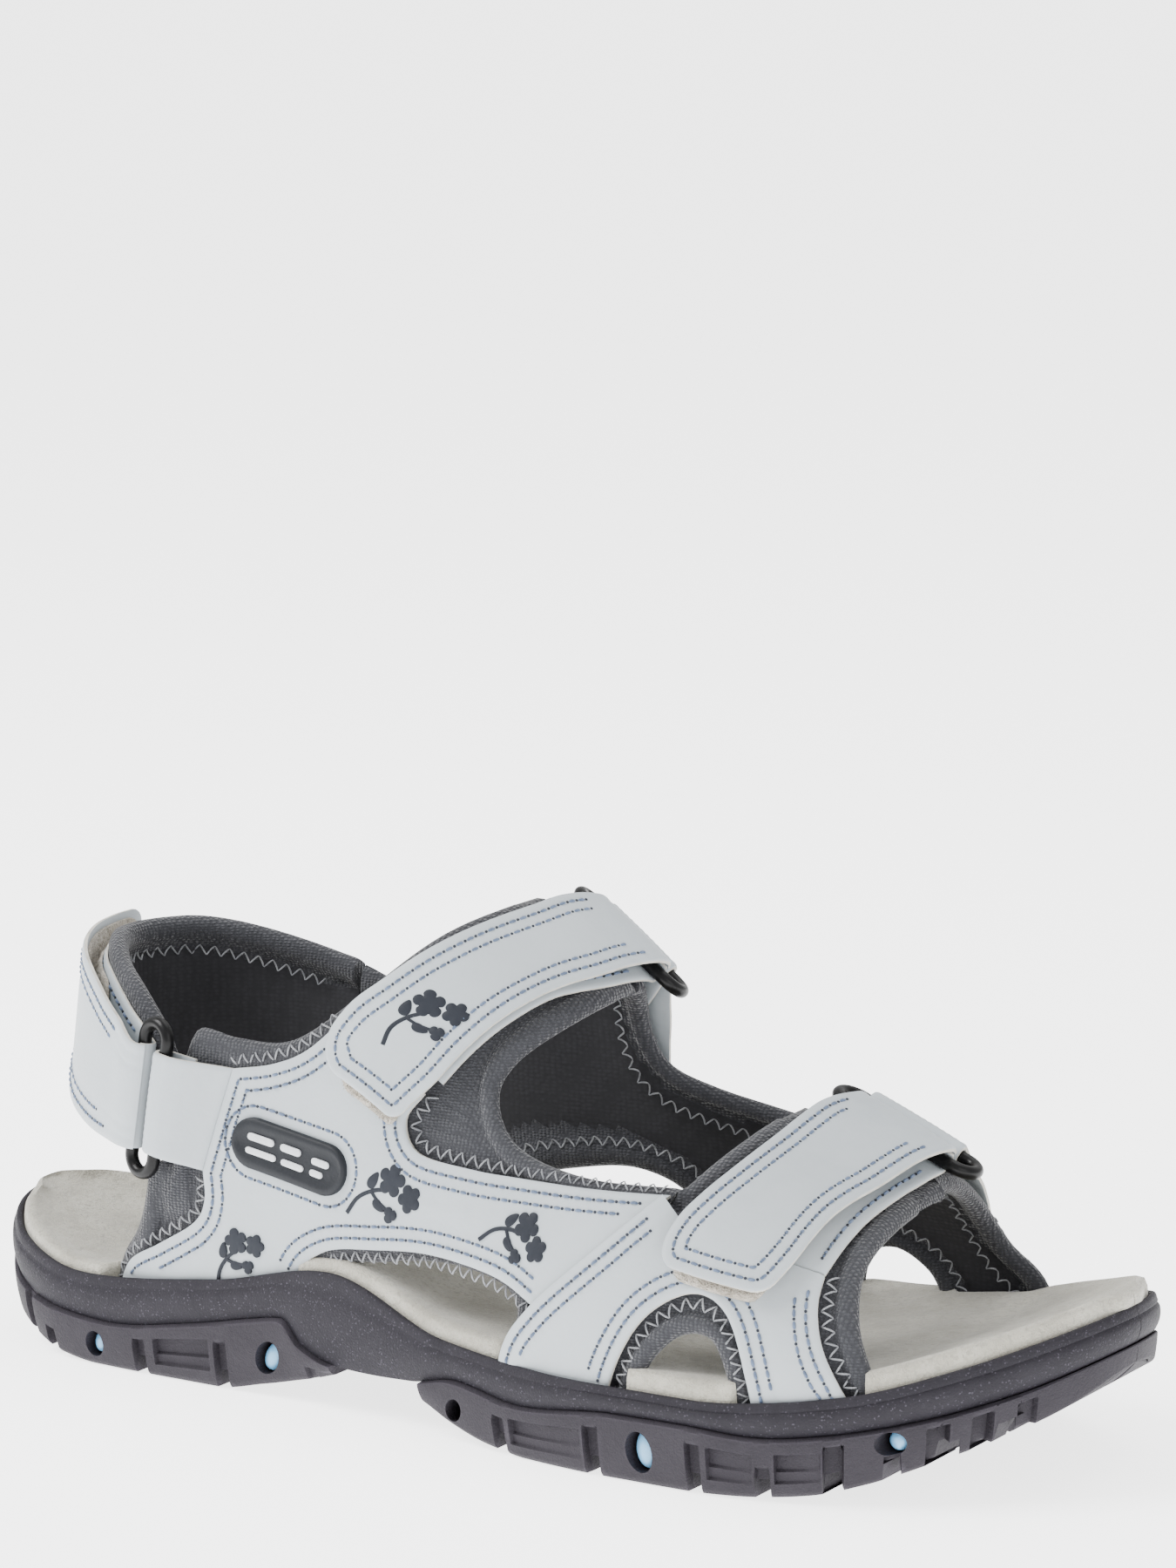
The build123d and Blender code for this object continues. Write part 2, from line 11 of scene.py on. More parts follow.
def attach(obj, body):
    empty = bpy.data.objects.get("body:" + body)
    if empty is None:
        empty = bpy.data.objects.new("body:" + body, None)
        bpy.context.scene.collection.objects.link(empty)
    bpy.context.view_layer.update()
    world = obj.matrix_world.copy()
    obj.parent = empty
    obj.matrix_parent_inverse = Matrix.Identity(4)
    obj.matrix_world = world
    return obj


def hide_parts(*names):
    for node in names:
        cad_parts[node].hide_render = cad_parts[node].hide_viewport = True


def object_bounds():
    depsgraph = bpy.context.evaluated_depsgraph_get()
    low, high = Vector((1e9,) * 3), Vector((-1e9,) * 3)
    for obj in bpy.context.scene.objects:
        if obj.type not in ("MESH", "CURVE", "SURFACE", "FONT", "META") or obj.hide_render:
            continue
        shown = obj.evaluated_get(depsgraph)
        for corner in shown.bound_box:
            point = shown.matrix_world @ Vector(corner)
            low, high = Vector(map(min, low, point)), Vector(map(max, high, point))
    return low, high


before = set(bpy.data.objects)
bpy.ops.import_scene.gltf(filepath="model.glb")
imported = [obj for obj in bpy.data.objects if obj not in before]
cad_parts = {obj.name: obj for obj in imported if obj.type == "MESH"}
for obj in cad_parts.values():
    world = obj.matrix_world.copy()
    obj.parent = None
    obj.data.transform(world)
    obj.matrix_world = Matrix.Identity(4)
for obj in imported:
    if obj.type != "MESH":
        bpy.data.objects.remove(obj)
cad_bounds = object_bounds()
random.seed(7)
MM = 0.001
TUCK = 3.0              # how far the upper runs on below the rim
RIDGE_CLEAR = 14.0      # degrees each side of the instep ridge without stitches

# All shapes below are worked out in millimetres on the same foot surface as the CAD model, and
# written to Blender in metres.

# ---- shared shape of sole and foot ----------------------------------------------------------------
SOLE_HALF = 129.0
WALL = 6.5              # from the sole's edge in to the foot
HEEL_ROUND = 42.0       # radius of the heel in plan
FOOT_INSIDE = (-62, 5, 35)
# Depths of the layers outward from the foot
LINING = 3.0
LEATHER = 1.2
OVERLAY_IN = 3.35
OVERLAY_OUT = OVERLAY_IN + LEATHER
LOOP_IN = OVERLAY_OUT + 0.1
FLAP_IN = LOOP_IN + 2.25
RING_DEPTH = 6.7
RING_PITCH = 7.2
RING_BAR = 1.4

LATERAL = [(-129, 0), (-123, -18.5), (-115, -26.5), (-100, -32.5), (-80, -34), (-50, -34.5), (-20, -37.5),
           (10, -42.5), (40, -46), (60, -46), (80, -42.5), (95, -36), (108, -27), (118, -16), (125, -5),
           (129, 11)]
MEDIAL = [(-129, 0), (-123, 18.5), (-115, 26.5), (-100, 32.5), (-80, 33.5), (-50, 30.5), (-20, 28.5),
          (10, 33), (40, 41.5), (60, 45.5), (80, 46.5), (95, 45), (108, 41), (118, 35.5), (125, 28),
          (129, 11)]
RIM = [(-129, 28), (-110, 22), (-95, 19.5), (-60, 23), (-30, 29), (0, 20.5), (30, 18.5), (60, 18.5),
       (90, 21.5), (110, 27), (129, 34)]
DORSAL = [(-100, 190), (-60, 160), (-35, 124), (-15, 105), (0, 93), (15, 81.5), (30, 73.5),
          (60, 60.5), (85, 50), (105, 44), (129, 38)]
TREAD = [(-131, 20), (-124, 11), (-114, 4.5), (-102, 1), (-92, 0), (-60, 0), (-48, 2.4), (-36, 5.5),
         (-22, 9), (-8, 7.5), (2, 3.6), (12, 1), (22, 0), (54, 0), (70, 0.3), (85, 1.7), (95, 4.3),
         (105, 8.1), (116, 12.8), (124, 17.6), (131, 24.5)]
SPLIT = [(-131, 24), (-120, 15.5), (-108, 11.6), (-88, 9.8), (-65, 13), (-50, 16.2), (-42.5, 17.4),
         (-37.5, 12.6), (-29, 9.8), (-22, 9.6), (-8, 10.4), (4, 12.8), (20, 10.8), (43, 13.2), (60, 13.4),
         (74, 12.6), (88, 14), (104, 17.2), (118, 21.4), (131, 27.4)]
FOOTBED_RISE = [(-131, 1.5), (-60, 1.9), (0, 2.6), (40, 3.4), (100, 3.4), (131, 2.6)]
RIDGE = [(-60, 0), (-20, 8), (0, 12), (30, 12), (60, 10), (90, 10)]
HEEL = [(15, -113), (25, -112), (45, -107), (65, -104), (90, -103), (120, -104)]


def hermite(t, gap, start, leaving, end, arriving):
    """Cubic from start to end over a gap, with its slope at each end; t runs from 0 to 1."""
    return ((2 * t**3 - 3 * t**2 + 1) * start + (t**3 - 2 * t**2 + t) * gap * leaving
            + (3 * t**2 - 2 * t**3) * end + (t**3 - t**2) * gap * arriving)


def curve(place, knots):
    """Values of a smooth curve through (place, value) knots, without overshoot."""
    kx, ky = np.array(knots, float).T
    place = np.clip(np.asarray(place, float), kx[0], kx[-1])
    steps = np.diff(kx)
    slopes = np.diff(ky) / steps
    turning = slopes[:-1] * slopes[1:] > 0
    both = np.where(turning, slopes[:-1] + slopes[1:], 1)
    inner = np.where(turning, 2 * slopes[:-1] * slopes[1:] / both, 0)
    tangents = np.concatenate([slopes[:1], inner, slopes[-1:]])
    i = np.clip(np.searchsorted(kx, place) - 1, 0, len(steps) - 1)
    t = (place - kx[i]) / steps[i]
    return hermite(t, steps[i], ky[i], tangents[i], ky[i + 1], tangents[i + 1])


def step_up(value, low, high):
    """0 below low, 1 above high, smooth between."""
    t = np.clip((value - low) / (high - low), 0, 1)
    return t * t * (3 - 2 * t)


def bent_knots(knots):
    return [(math.asin(x / SOLE_HALF), y) for x, y in knots]


MEDIAL_BENT = bent_knots(MEDIAL)
LATERAL_BENT = bent_knots(LATERAL)


def sole_edge(x, medial):
    """Edge of the sole in plan. Reading the outline by angle makes both of its ends round."""
    angle = np.arcsin(np.clip(np.asarray(x, float) / SOLE_HALF, -1, 1))
    return np.where(medial, curve(angle, MEDIAL_BENT), curve(angle, LATERAL_BENT))


def rim(x):
    return curve(x, RIM)


def tread(x):
    return curve(x, TREAD)


def split(x):
    return curve(x, SPLIT)


def footbed_top(x):
    return rim(x) + curve(x, FOOTBED_RISE)


def over_point(x, turn):
    """Point of the foot at x. turn goes over it: 0 lateral rim, 90 instep ridge, 180 medial rim."""
    x, turn = np.broadcast_arrays(np.asarray(x, float), np.asarray(turn, float))
    low = rim(x)
    z = low + (curve(x, DORSAL) - low) * np.sin(np.radians(turn))
    ridge = curve(x, RIDGE)
    medial = turn > 90
    spread = np.where((turn > 0) & (turn < 180), np.abs(np.cos(np.radians(turn))), 1)
    back = np.clip((x - curve(z, HEEL)) / HEEL_ROUND, 0, 1)
    half = sole_edge(x, medial) - np.where(medial, WALL, -WALL)
    return np.stack([x, (ridge + (half - ridge) * spread) * np.sqrt(1 - (1 - back)**2), z], -1)


def heel_point(along, z):
    """Point of the heel at height z. along is the way round the heel: 0 back, + medial, - lateral."""
    along, z = np.broadcast_arrays(np.asarray(along, float), np.asarray(z, float))
    swing = np.minimum(np.abs(along) / HEEL_ROUND, math.pi / 2)
    past = np.maximum(0, np.abs(along) - HEEL_ROUND * math.pi / 2)
    x = curve(z, HEEL) + HEEL_ROUND * (1 - np.cos(swing)) + past
    low = rim(x)
    rise = np.clip((z - low) / (curve(x, DORSAL) - low), 0, 1)
    ridge = curve(x, RIDGE)
    medial = along > 0
    half = sole_edge(x, medial) - np.where(medial, WALL, -WALL) - ridge
    return np.stack([x, (ridge + half * np.sqrt(1 - rise**2)) * np.sin(swing), z], -1)


def unit(v):
    return v / np.maximum(np.linalg.norm(v, axis=-1, keepdims=True), 1e-9)


def outward(surface, a, b):
    """Unit normals of a foot surface, away from the foot."""
    across = surface(a + 0.5, b) - surface(a - 0.5, b)
    up = surface(a, b + 0.5) - surface(a, b - 0.5)
    normal = unit(np.cross(across, up))
    here = surface(a, b)
    middle = np.full_like(here, FOOT_INSIDE)
    if surface is over_point:
        middle[..., 0] = here[..., 0]
    facing = np.sum(normal * (here - middle), -1, keepdims=True)
    return np.where(facing > 0, normal, -normal)


def lengths(path):
    """Distance along a polyline at each of its points."""
    return np.concatenate([[0], np.cumsum(np.linalg.norm(np.diff(path, axis=0), axis=1))])


def read_at(places, along, path):
    """Points of a path at some distances along it."""
    return np.stack([np.interp(places, along, column) for column in path.T], -1)


def winding(polygon):
    """1 for a polygon that runs anticlockwise, -1 for the other way."""
    (x, y), (next_x, next_y) = polygon.T, np.roll(polygon, -1, 0).T
    return 1 if np.sum(x * next_y - y * next_x) > 0 else -1


class Skin:
    """A foot surface with a depth outward, and the millimetres that one step of a and b is worth."""

    def __init__(self, surface, scale):
        self.surface = surface
        self.scale = np.array(scale, float)

    def at(self, a, b, depth):
        a, b = np.asarray(a, float), np.asarray(b, float)
        lift = np.asarray(depth, float)[..., None] if np.ndim(depth) else depth
        return self.surface(a, b) + outward(self.surface, a, b) * lift


class Strip:
    """A strap: rows of points across it, read by the way along it and the way across it."""

    def __init__(self, rows, normals, width):
        self.rows, self.normals = rows, normals
        self.scale = np.array([1.0, width / 2])
        self.along = lengths(rows[:, rows.shape[1] // 2])
        self.length = self.along[-1]

    def at(self, a, b, depth):
        """b runs from -1 to 1 across the strap."""
        a, b = np.broadcast_arrays(np.asarray(a, float), np.asarray(b, float))
        i = np.clip(np.searchsorted(self.along, a) - 1, 0, len(self.along) - 2)
        u = ((a - self.along[i]) / (self.along[i + 1] - self.along[i]))[..., None]
        column = (b + 1) / 2 * (self.rows.shape[1] - 1)
        j = np.clip(np.floor(column).astype(int), 0, self.rows.shape[1] - 2)
        v = (column - j)[..., None]
        found = []
        for grid in (self.rows, self.normals):
            low = grid[i, j] * (1 - v) + grid[i, j + 1] * v
            high = grid[i + 1, j] * (1 - v) + grid[i + 1, j + 1] * v
            found.append(low * (1 - u) + high * u)
        lift = np.asarray(depth, float)[..., None] if np.ndim(depth) else depth
        return found[0] + unit(found[1]) * lift


OVER = Skin(over_point, (1.0, 0.9))
AROUND = Skin(heel_point, (1.0, 1.0))


# ---- mesh helpers ---------------------------------------------------------------------------------
def new_object(name, verts, faces, material, body, slot, replaces=(), sharp=40, edge=None, edge_from=0):
    """A smooth-shaded mesh object, in metres, that rides on a body and replaces its CAD nodes."""
    mesh = bpy.data.meshes.new(name)
    mesh.from_pydata((np.asarray(verts, float) * MM).tolist(), [], [tuple(map(int, f)) for f in faces])
    mesh.validate()
    cleaner = bmesh.new()
    cleaner.from_mesh(mesh)
    bmesh.ops.recalc_face_normals(cleaner, faces=cleaner.faces)
    cleaner.to_mesh(mesh)
    cleaner.free()
    mesh.shade_smooth()
    mesh.set_sharp_from_angle(angle=math.radians(sharp))
    mesh.materials.append(material)
    if edge:
        mesh.materials.append(edge)
        for polygon in mesh.polygons[edge_from:]:
            polygon.material_index = 1
    piece = bpy.data.objects.new(name, mesh)
    bpy.context.scene.collection.objects.link(piece)
    if body:
        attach(piece, body)
    if replaces:
        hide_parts(*replaces)
    return piece


def smooth_run(points, step=1.0):
    """Dense Catmull-Rom curve through a run of points; two points stay a straight line."""
    p = np.array(points, float)
    if len(p) == 2:
        count = max(2, int(np.linalg.norm(p[1] - p[0]) / step) + 1)
        return p[0] + (p[1] - p[0]) * np.linspace(0, 1, count)[:, None]
    p = np.vstack([2 * p[0] - p[1], p, 2 * p[-1] - p[-2]])
    out = []
    for a, b, c, d in zip(p, p[1:], p[2:], p[3:]):
        t = np.linspace(0, 1, max(2, int(np.linalg.norm(c - b) / step) + 1))[:-1, None]
        out.append(0.5 * (2 * b + (c - a) * t + (2 * a - 5 * b + 4 * c - d) * t**2
                          + (3 * b - a - 3 * c + d) * t**3))
    return np.vstack(out + [p[-2][None]])


def joined_runs(runs, step=1.0):
    """Closed outline from runs, with the number of the run that each point came from."""
    points, source = [], []
    for number, run in enumerate(runs):
        dense = smooth_run(run, step)[:-1]
        points.append(dense)
        source += [number] * len(dense)
    return np.vstack(points), np.array(source)


def side_outline(runs, medial, step):
    """Side-view outline (x, z) turned into (x, turn) on the foot. Each run ends where the next starts."""
    points, source = joined_runs([run + after[:1] for run, after in zip(runs, runs[1:] + runs[:1])], step)
    low, high = rim(points[:, 0]), curve(points[:, 0], DORSAL)
    points[:, 1] = np.maximum(points[:, 1], low - TUCK)
    kept = [0]
    for i in range(1, len(points)):
        if np.linalg.norm(points[i] - points[kept[-1]]) > 0.35 * step:
            kept.append(i)
    points, source, low, high = points[kept], source[kept], low[kept], high[kept]
    turn = np.degrees(np.arcsin(np.clip((points[:, 1] - low) / (high - low), -0.9, 0.9998)))
    points[:, 1] = 180 - turn if medial else turn
    return points, source


def inside(points, polygon):
    """Which points lie in a closed polygon."""
    hit = np.zeros(len(points), bool)
    for (ax, ay), (bx, by) in zip(polygon, np.roll(polygon, -1, 0)):
        crosses = (ay > points[:, 1]) != (by > points[:, 1])
        if crosses.any():
            where = ax + (points[:, 1] - ay) * (bx - ax) / (by - ay if by != ay else 1e-9)
            hit ^= crosses & (points[:, 0] < where)
    return hit


def edge_distance(points, polygon):
    """Distance from each point to the nearest edge of a closed polygon."""
    start, end = polygon, np.roll(polygon, -1, 0)
    span = end - start
    length = np.maximum((span**2).sum(1), 1e-12)
    best = np.full(len(points), 1e9)
    for first in range(0, len(points), 2000):
        block = points[first:first + 2000]
        t = np.clip(((block[:, None] - start) * span).sum(2) / length, 0, 1)
        gap = block[:, None] - (start + span * t[..., None])
        best[first:first + 2000] = np.sqrt((gap**2).sum(2).min(1))
    return best


def flat_fill(polygon, spacing, rows=(0.3, 0.8, 1.5)):
    """Triangles that fill a closed polygon: points, faces and distance from the edge."""
    low, high = polygon.min(0), polygon.max(0)
    xs = np.arange(low[0], high[0] + spacing, spacing)
    ys = np.arange(low[1], high[1] + spacing, spacing * 0.87)
    grid = np.array([(x + (j % 2) * spacing / 2, y) for j, y in enumerate(ys) for x in xs])
    grid = grid[inside(grid, polygon)]
    if len(grid):
        grid = grid[edge_distance(grid, polygon) > max(rows) + spacing * 0.55]
    tangent = np.roll(polygon, -1, 0) - np.roll(polygon, 1, 0)
    inward = unit(np.stack([-tangent[:, 1], tangent[:, 0]], 1)) * winding(polygon)
    extra = []
    for row in rows:
        ring = polygon + inward * row
        fits = inside(ring, polygon)
        ring = ring[fits]
        if len(ring):
            extra.append(ring[edge_distance(ring, polygon) > row * 0.9])
    points = np.vstack([polygon, grid] + extra) if len(grid) else np.vstack([polygon] + extra)
    edges = [(i, (i + 1) % len(polygon)) for i in range(len(polygon))]
    verts, _, faces, _, _, _ = delaunay_2d_cdt([Vector(p) for p in points], edges, [], 1, 1e-4)
    flat = np.array([tuple(v) for v in verts])
    return flat, [tuple(f) for f in faces], edge_distance(flat, polygon)


def join(parts):
    """One mesh from several (vertices, faces, ...)."""
    verts, faces = [], []
    for part in parts:
        faces += [tuple(i + len(verts) for i in face) for face in part[1]]
        verts += list(part[0])
    return verts, faces


def boundary_edges(faces):
    """Edges that only one face uses, in that face's direction."""
    count = {}
    for face in faces:
        for a, b in zip(face, face[1:] + face[:1]):
            count[(a, b)] = count.get((a, b), 0) + 1
    return [e for e in count if (e[1], e[0]) not in count]


def run_distance(points, polygon, source, runs):
    """Distance to the edges that belong to some runs of an outline."""
    start, end = polygon, np.roll(polygon, -1, 0)
    chosen = np.isin(source, runs)
    best = np.full(len(points), 1e9)
    for p, q in zip(start[chosen], end[chosen]):
        span = q - p
        t = np.clip(((points - p) @ span) / max(span @ span, 1e-12), 0, 1)
        best = np.minimum(best, np.linalg.norm(points - p - t[:, None] * span, axis=1))
    return best


def panel_mesh(skin, outline, inner, outer, spacing=1.6, rows=(0.3, 0.8, 1.5), source=None, runs=None):
    """Closed sheet on a surface. inner and outer give its depths from the distance to its edge."""
    flat, faces, gap = flat_fill(outline * skin.scale, spacing, rows)
    if runs is not None:
        gap = run_distance(flat, outline * skin.scale, source, runs)
    a, b = (flat / skin.scale).T
    front = skin.at(a, b, outer(gap, a, b))
    behind = skin.at(a, b, inner(gap, a, b))
    count = len(flat)
    solid = list(faces) + [tuple(reversed([i + count for i in face])) for face in faces]
    sheet_faces = len(solid)
    solid += [(a, a + count, b + count, b) for a, b in boundary_edges(faces)]
    return np.vstack([front, behind]), solid, sheet_faces, gap


def level(depth):
    """The same depth everywhere on a panel."""
    return lambda gap, a, b: np.full(len(a), depth, float)


def leather_depths(inner, thick=LEATHER, seams=(2.6, 5.4), pull=0.16):
    """Depths of a cut leather panel: raw edges slightly rounded, pulled in along its stitch rows."""
    def outer_at(gap, a, b):
        fall = 0.35 * np.clip(1 - gap / 0.7, 0, 1)**2
        seam = sum(pull * np.exp(-((gap - row) / 0.55)**2) for row in seams)
        crown = 0.12 * np.clip(gap / 8, 0, 1)
        return inner + thick - fall - seam + crown

    def inner_at(gap, a, b):
        return inner + 0.12 * np.clip(1 - gap / 0.5, 0, 1)
    return inner_at, outer_at


def lining_depths(roll, puff, thin=0.5):
    """Depths of a foam lining: a puffy rolled edge, then a seam that presses in, then flat cloth."""
    def profile(gap):
        tube = np.sqrt(np.clip(1 - ((gap - roll * 0.45) / (roll * 0.45))**2, 0, 1))
        tube = np.where(gap > roll * 0.45, np.maximum(tube, 0), tube)
        edge = np.where(gap < roll * 0.9, tube, 0)
        seam = np.exp(-((gap - roll) / 0.9)**2)
        flat = 1 - np.exp(-np.clip(gap - roll * 0.9, 0, None) / 1.2)
        return edge, seam, np.where(gap < roll * 0.9, 0, flat)

    def outer_at(gap, a, b):
        edge, seam, flat = profile(gap)
        return 1.5 + edge * (1.5 + puff * 0.5) + flat * (1.5 - thin * 0.4) - seam * 0.15

    def inner_at(gap, a, b):
        edge, seam, flat = profile(gap)
        return 1.5 - edge * (1.5 + puff) - flat * (1.5 - thin) + seam * 0.25
    return inner_at, outer_at


# ---- threads --------------------------------------------------------------------------------------
STITCH_PITCH = 2.45
STITCH_LENGTH = 1.75
STITCH_RADIUS = 0.34
STITCH_RISE = np.array([-0.42, -0.02, 0.1, -0.02, -0.42])[:, None]      # along one stitch, off the leather
HOLE_RADIUS = 0.33
ZIGZAG_RISE = np.array([-0.3, 0.08, 0.16, 0.08, -0.3])[:, None]         # along one leg of the zigzag


class Thread:
    """Collects many small tubes into one mesh."""

    def __init__(self):
        self.verts, self.faces = [], []

    def tube(self, points, radius, sides=6, ends=0.55):
        points = np.asarray(points, float)
        ahead = unit(np.gradient(points, axis=0))
        helper = np.array([0.31, 0.52, 0.79])
        across = unit(np.cross(ahead, helper))
        up = np.cross(ahead, across)
        first = len(self.verts)
        count = len(points)
        for i, (p, c, u) in enumerate(zip(points, across, up)):
            r = radius * (ends if i in (0, count - 1) else 1)
            for k in range(sides):
                angle = 2 * math.pi * k / sides
                self.verts.append(p + (c * math.cos(angle) + u * math.sin(angle)) * r)
        for i in range(count - 1):
            for k in range(sides):
                a = first + i * sides + k
                b = first + i * sides + (k + 1) % sides
                self.faces.append((a, b, b + sides, a + sides))
        self.faces.append(tuple(range(first + sides - 1, first - 1, -1)))
        self.faces.append(tuple(range(first + (count - 1) * sides, first + count * sides)))

    def build(self, name, material, body, slot):
        return new_object(name, self.verts, self.faces, material, body, slot, sharp=80)


def resampled(path, pitch):
    """Points at even steps along a polyline."""
    along = lengths(path)
    if along[-1] < pitch:
        return path[:1]
    return read_at(np.linspace(0, along[-1], int(along[-1] / pitch) + 1), along, path)


def inset_paths(skin, outline, source, runs, distance, depth):
    """Paths on a surface, a distance in from some runs of an outline (outside it if negative)."""
    a, b = outline.T
    here = skin.at(a, b, depth)
    da, db = 0.05 / skin.scale
    along_a = (skin.at(a + da, b, depth) - here) / da
    along_b = (skin.at(a, b + db, depth) - here) / db
    ahead = unit(np.roll(here, -1, 0) - np.roll(here, 1, 0))
    inward = unit(np.cross(unit(np.cross(along_a, along_b)), ahead)) * winding(outline * skin.scale)
    aa, ab, bb = (along_a**2).sum(1), (along_a * along_b).sum(1), (along_b**2).sum(1)
    ra, rb = (along_a * inward).sum(1), (along_b * inward).sum(1)
    det = np.maximum(aa * bb - ab * ab, 1e-9)
    moved = outline + distance * np.stack([(ra * bb - rb * ab) / det, (rb * aa - ra * ab) / det], 1)
    placed = skin.at(moved[:, 0], moved[:, 1], depth)
    gap = np.sqrt(((placed[:, None] - here[None])**2).sum(2)).min(1)
    keep = np.isin(source, runs) & (gap > abs(distance) * 0.93)
    if skin is OVER:
        keep &= (np.abs(moved[:, 1] - 90) > RIDGE_CLEAR) & (np.abs(outline[:, 1] - 90) > 4)
    if keep.all():
        return [np.vstack([moved, moved[:1]])]
    start = int(np.argmin(keep))
    order = np.roll(np.arange(len(keep)), -start)
    paths, current, gone = [], [], 0
    for i in order:
        if keep[i]:
            current.append(moved[i])
            gone = 0
        elif np.isin(source[i], runs) and current and gone < 14:
            gone += 1
        elif current:
            paths.append(np.array(current))
            current, gone = [], 0
    if current:
        paths.append(np.array(current))
    return [p for p in paths if len(p) > 3]


def stitch_rows(thread, hole_shades, skin, outline, source, runs, distances, depth, lap=None):
    """Rows of lock stitches a distance in from an outline's runs."""
    for distance in distances:
        for path in inset_paths(skin, outline, source, runs, distance, depth):
            stitch_path(thread, hole_shades, skin, path, depth, lap)


def lap_lift(lap, a, b):
    """How far a panel stands up where it laps over its neighbour, along a line."""
    if lap is None:
        return 0.0
    points = np.stack([a, b], -1).reshape(-1, 2) * OVER.scale
    gap = np.sqrt(((points[:, None] - lap[None])**2).sum(2)).min(1).reshape(np.shape(a))
    return 1.35 * (1 - step_up(gap, 2.5, 9.5))


def stitch_path(thread, hole_shades, skin, path, depth, lap=None):
    """Lock stitches along a path given in a surface's own coordinates, with a dark dot of painted shade at
    each needle hole.
    """
    fine = resampled(path * skin.scale, 0.4) / skin.scale
    if len(fine) < 3:
        return
    depth = depth + lap_lift(lap, fine[:, 0], fine[:, 1])
    line = skin.at(fine[:, 0], fine[:, 1], depth)
    normals = skin.at(fine[:, 0], fine[:, 1], depth + 1.0) - line
    along = lengths(line)
    for n in range(int(along[-1] / STITCH_PITCH)):
        places = n * STITCH_PITCH + np.linspace(0, STITCH_LENGTH, 5) + STITCH_PITCH * 0.15
        if places[-1] > along[-1]:
            break
        out = unit(read_at(places, along, normals))
        thread.tube(read_at(places, along, line) + out * STITCH_RISE, STITCH_RADIUS)
        spot = read_at(places[-1] + (STITCH_PITCH - STITCH_LENGTH) / 2, along, line)
        # Each needle hole is a short dark tube standing just proud of the leather: painted shade in place of
        # a real hole.
        hole_shades.tube([spot - out[-1] * 0.4, spot + out[-1] * 0.1], HOLE_RADIUS, 6, 1.0)


def zigzag_rows(thread, skin, outline, source, runs, distance, depth, width, pitch, radius):
    """Zigzag stitches along an outline's runs."""
    for path in inset_paths(skin, outline, source, runs, distance, depth):
        fine = resampled(path * skin.scale, 0.4) / skin.scale
        line = resampled(skin.at(fine[:, 0], fine[:, 1], depth), pitch / 2)
        if len(line) < 4 or len(fine) < 4:
            continue
        share = np.linspace(0, 1, len(line)) * (len(fine) - 1)
        spots = read_at(share, np.arange(len(fine)), fine)
        out = outward(skin.surface, spots[:, 0], spots[:, 1])
        side = unit(np.cross(out, unit(np.gradient(line, axis=0))))
        swing = np.where(np.arange(len(line)) % 2 == 0, 1, -1)[:, None] * width / 2
        corners = line + side * swing
        for start, end, lift in zip(corners, corners[1:], out):
            leg = start + (end - start) * np.linspace(0.04, 0.96, 5)[:, None]
            thread.tube(leg + lift * ZIGZAG_RISE, radius, 5)


# ---- materials ------------------------------------------------------------------------------------
def color(r, g, b):
    """Linear colour from 8-bit sRGB."""
    return tuple(((c / 255 + 0.055) / 1.055)**2.4 if c > 10 else c / 255 / 12.92 for c in (r, g, b)) + (1,)


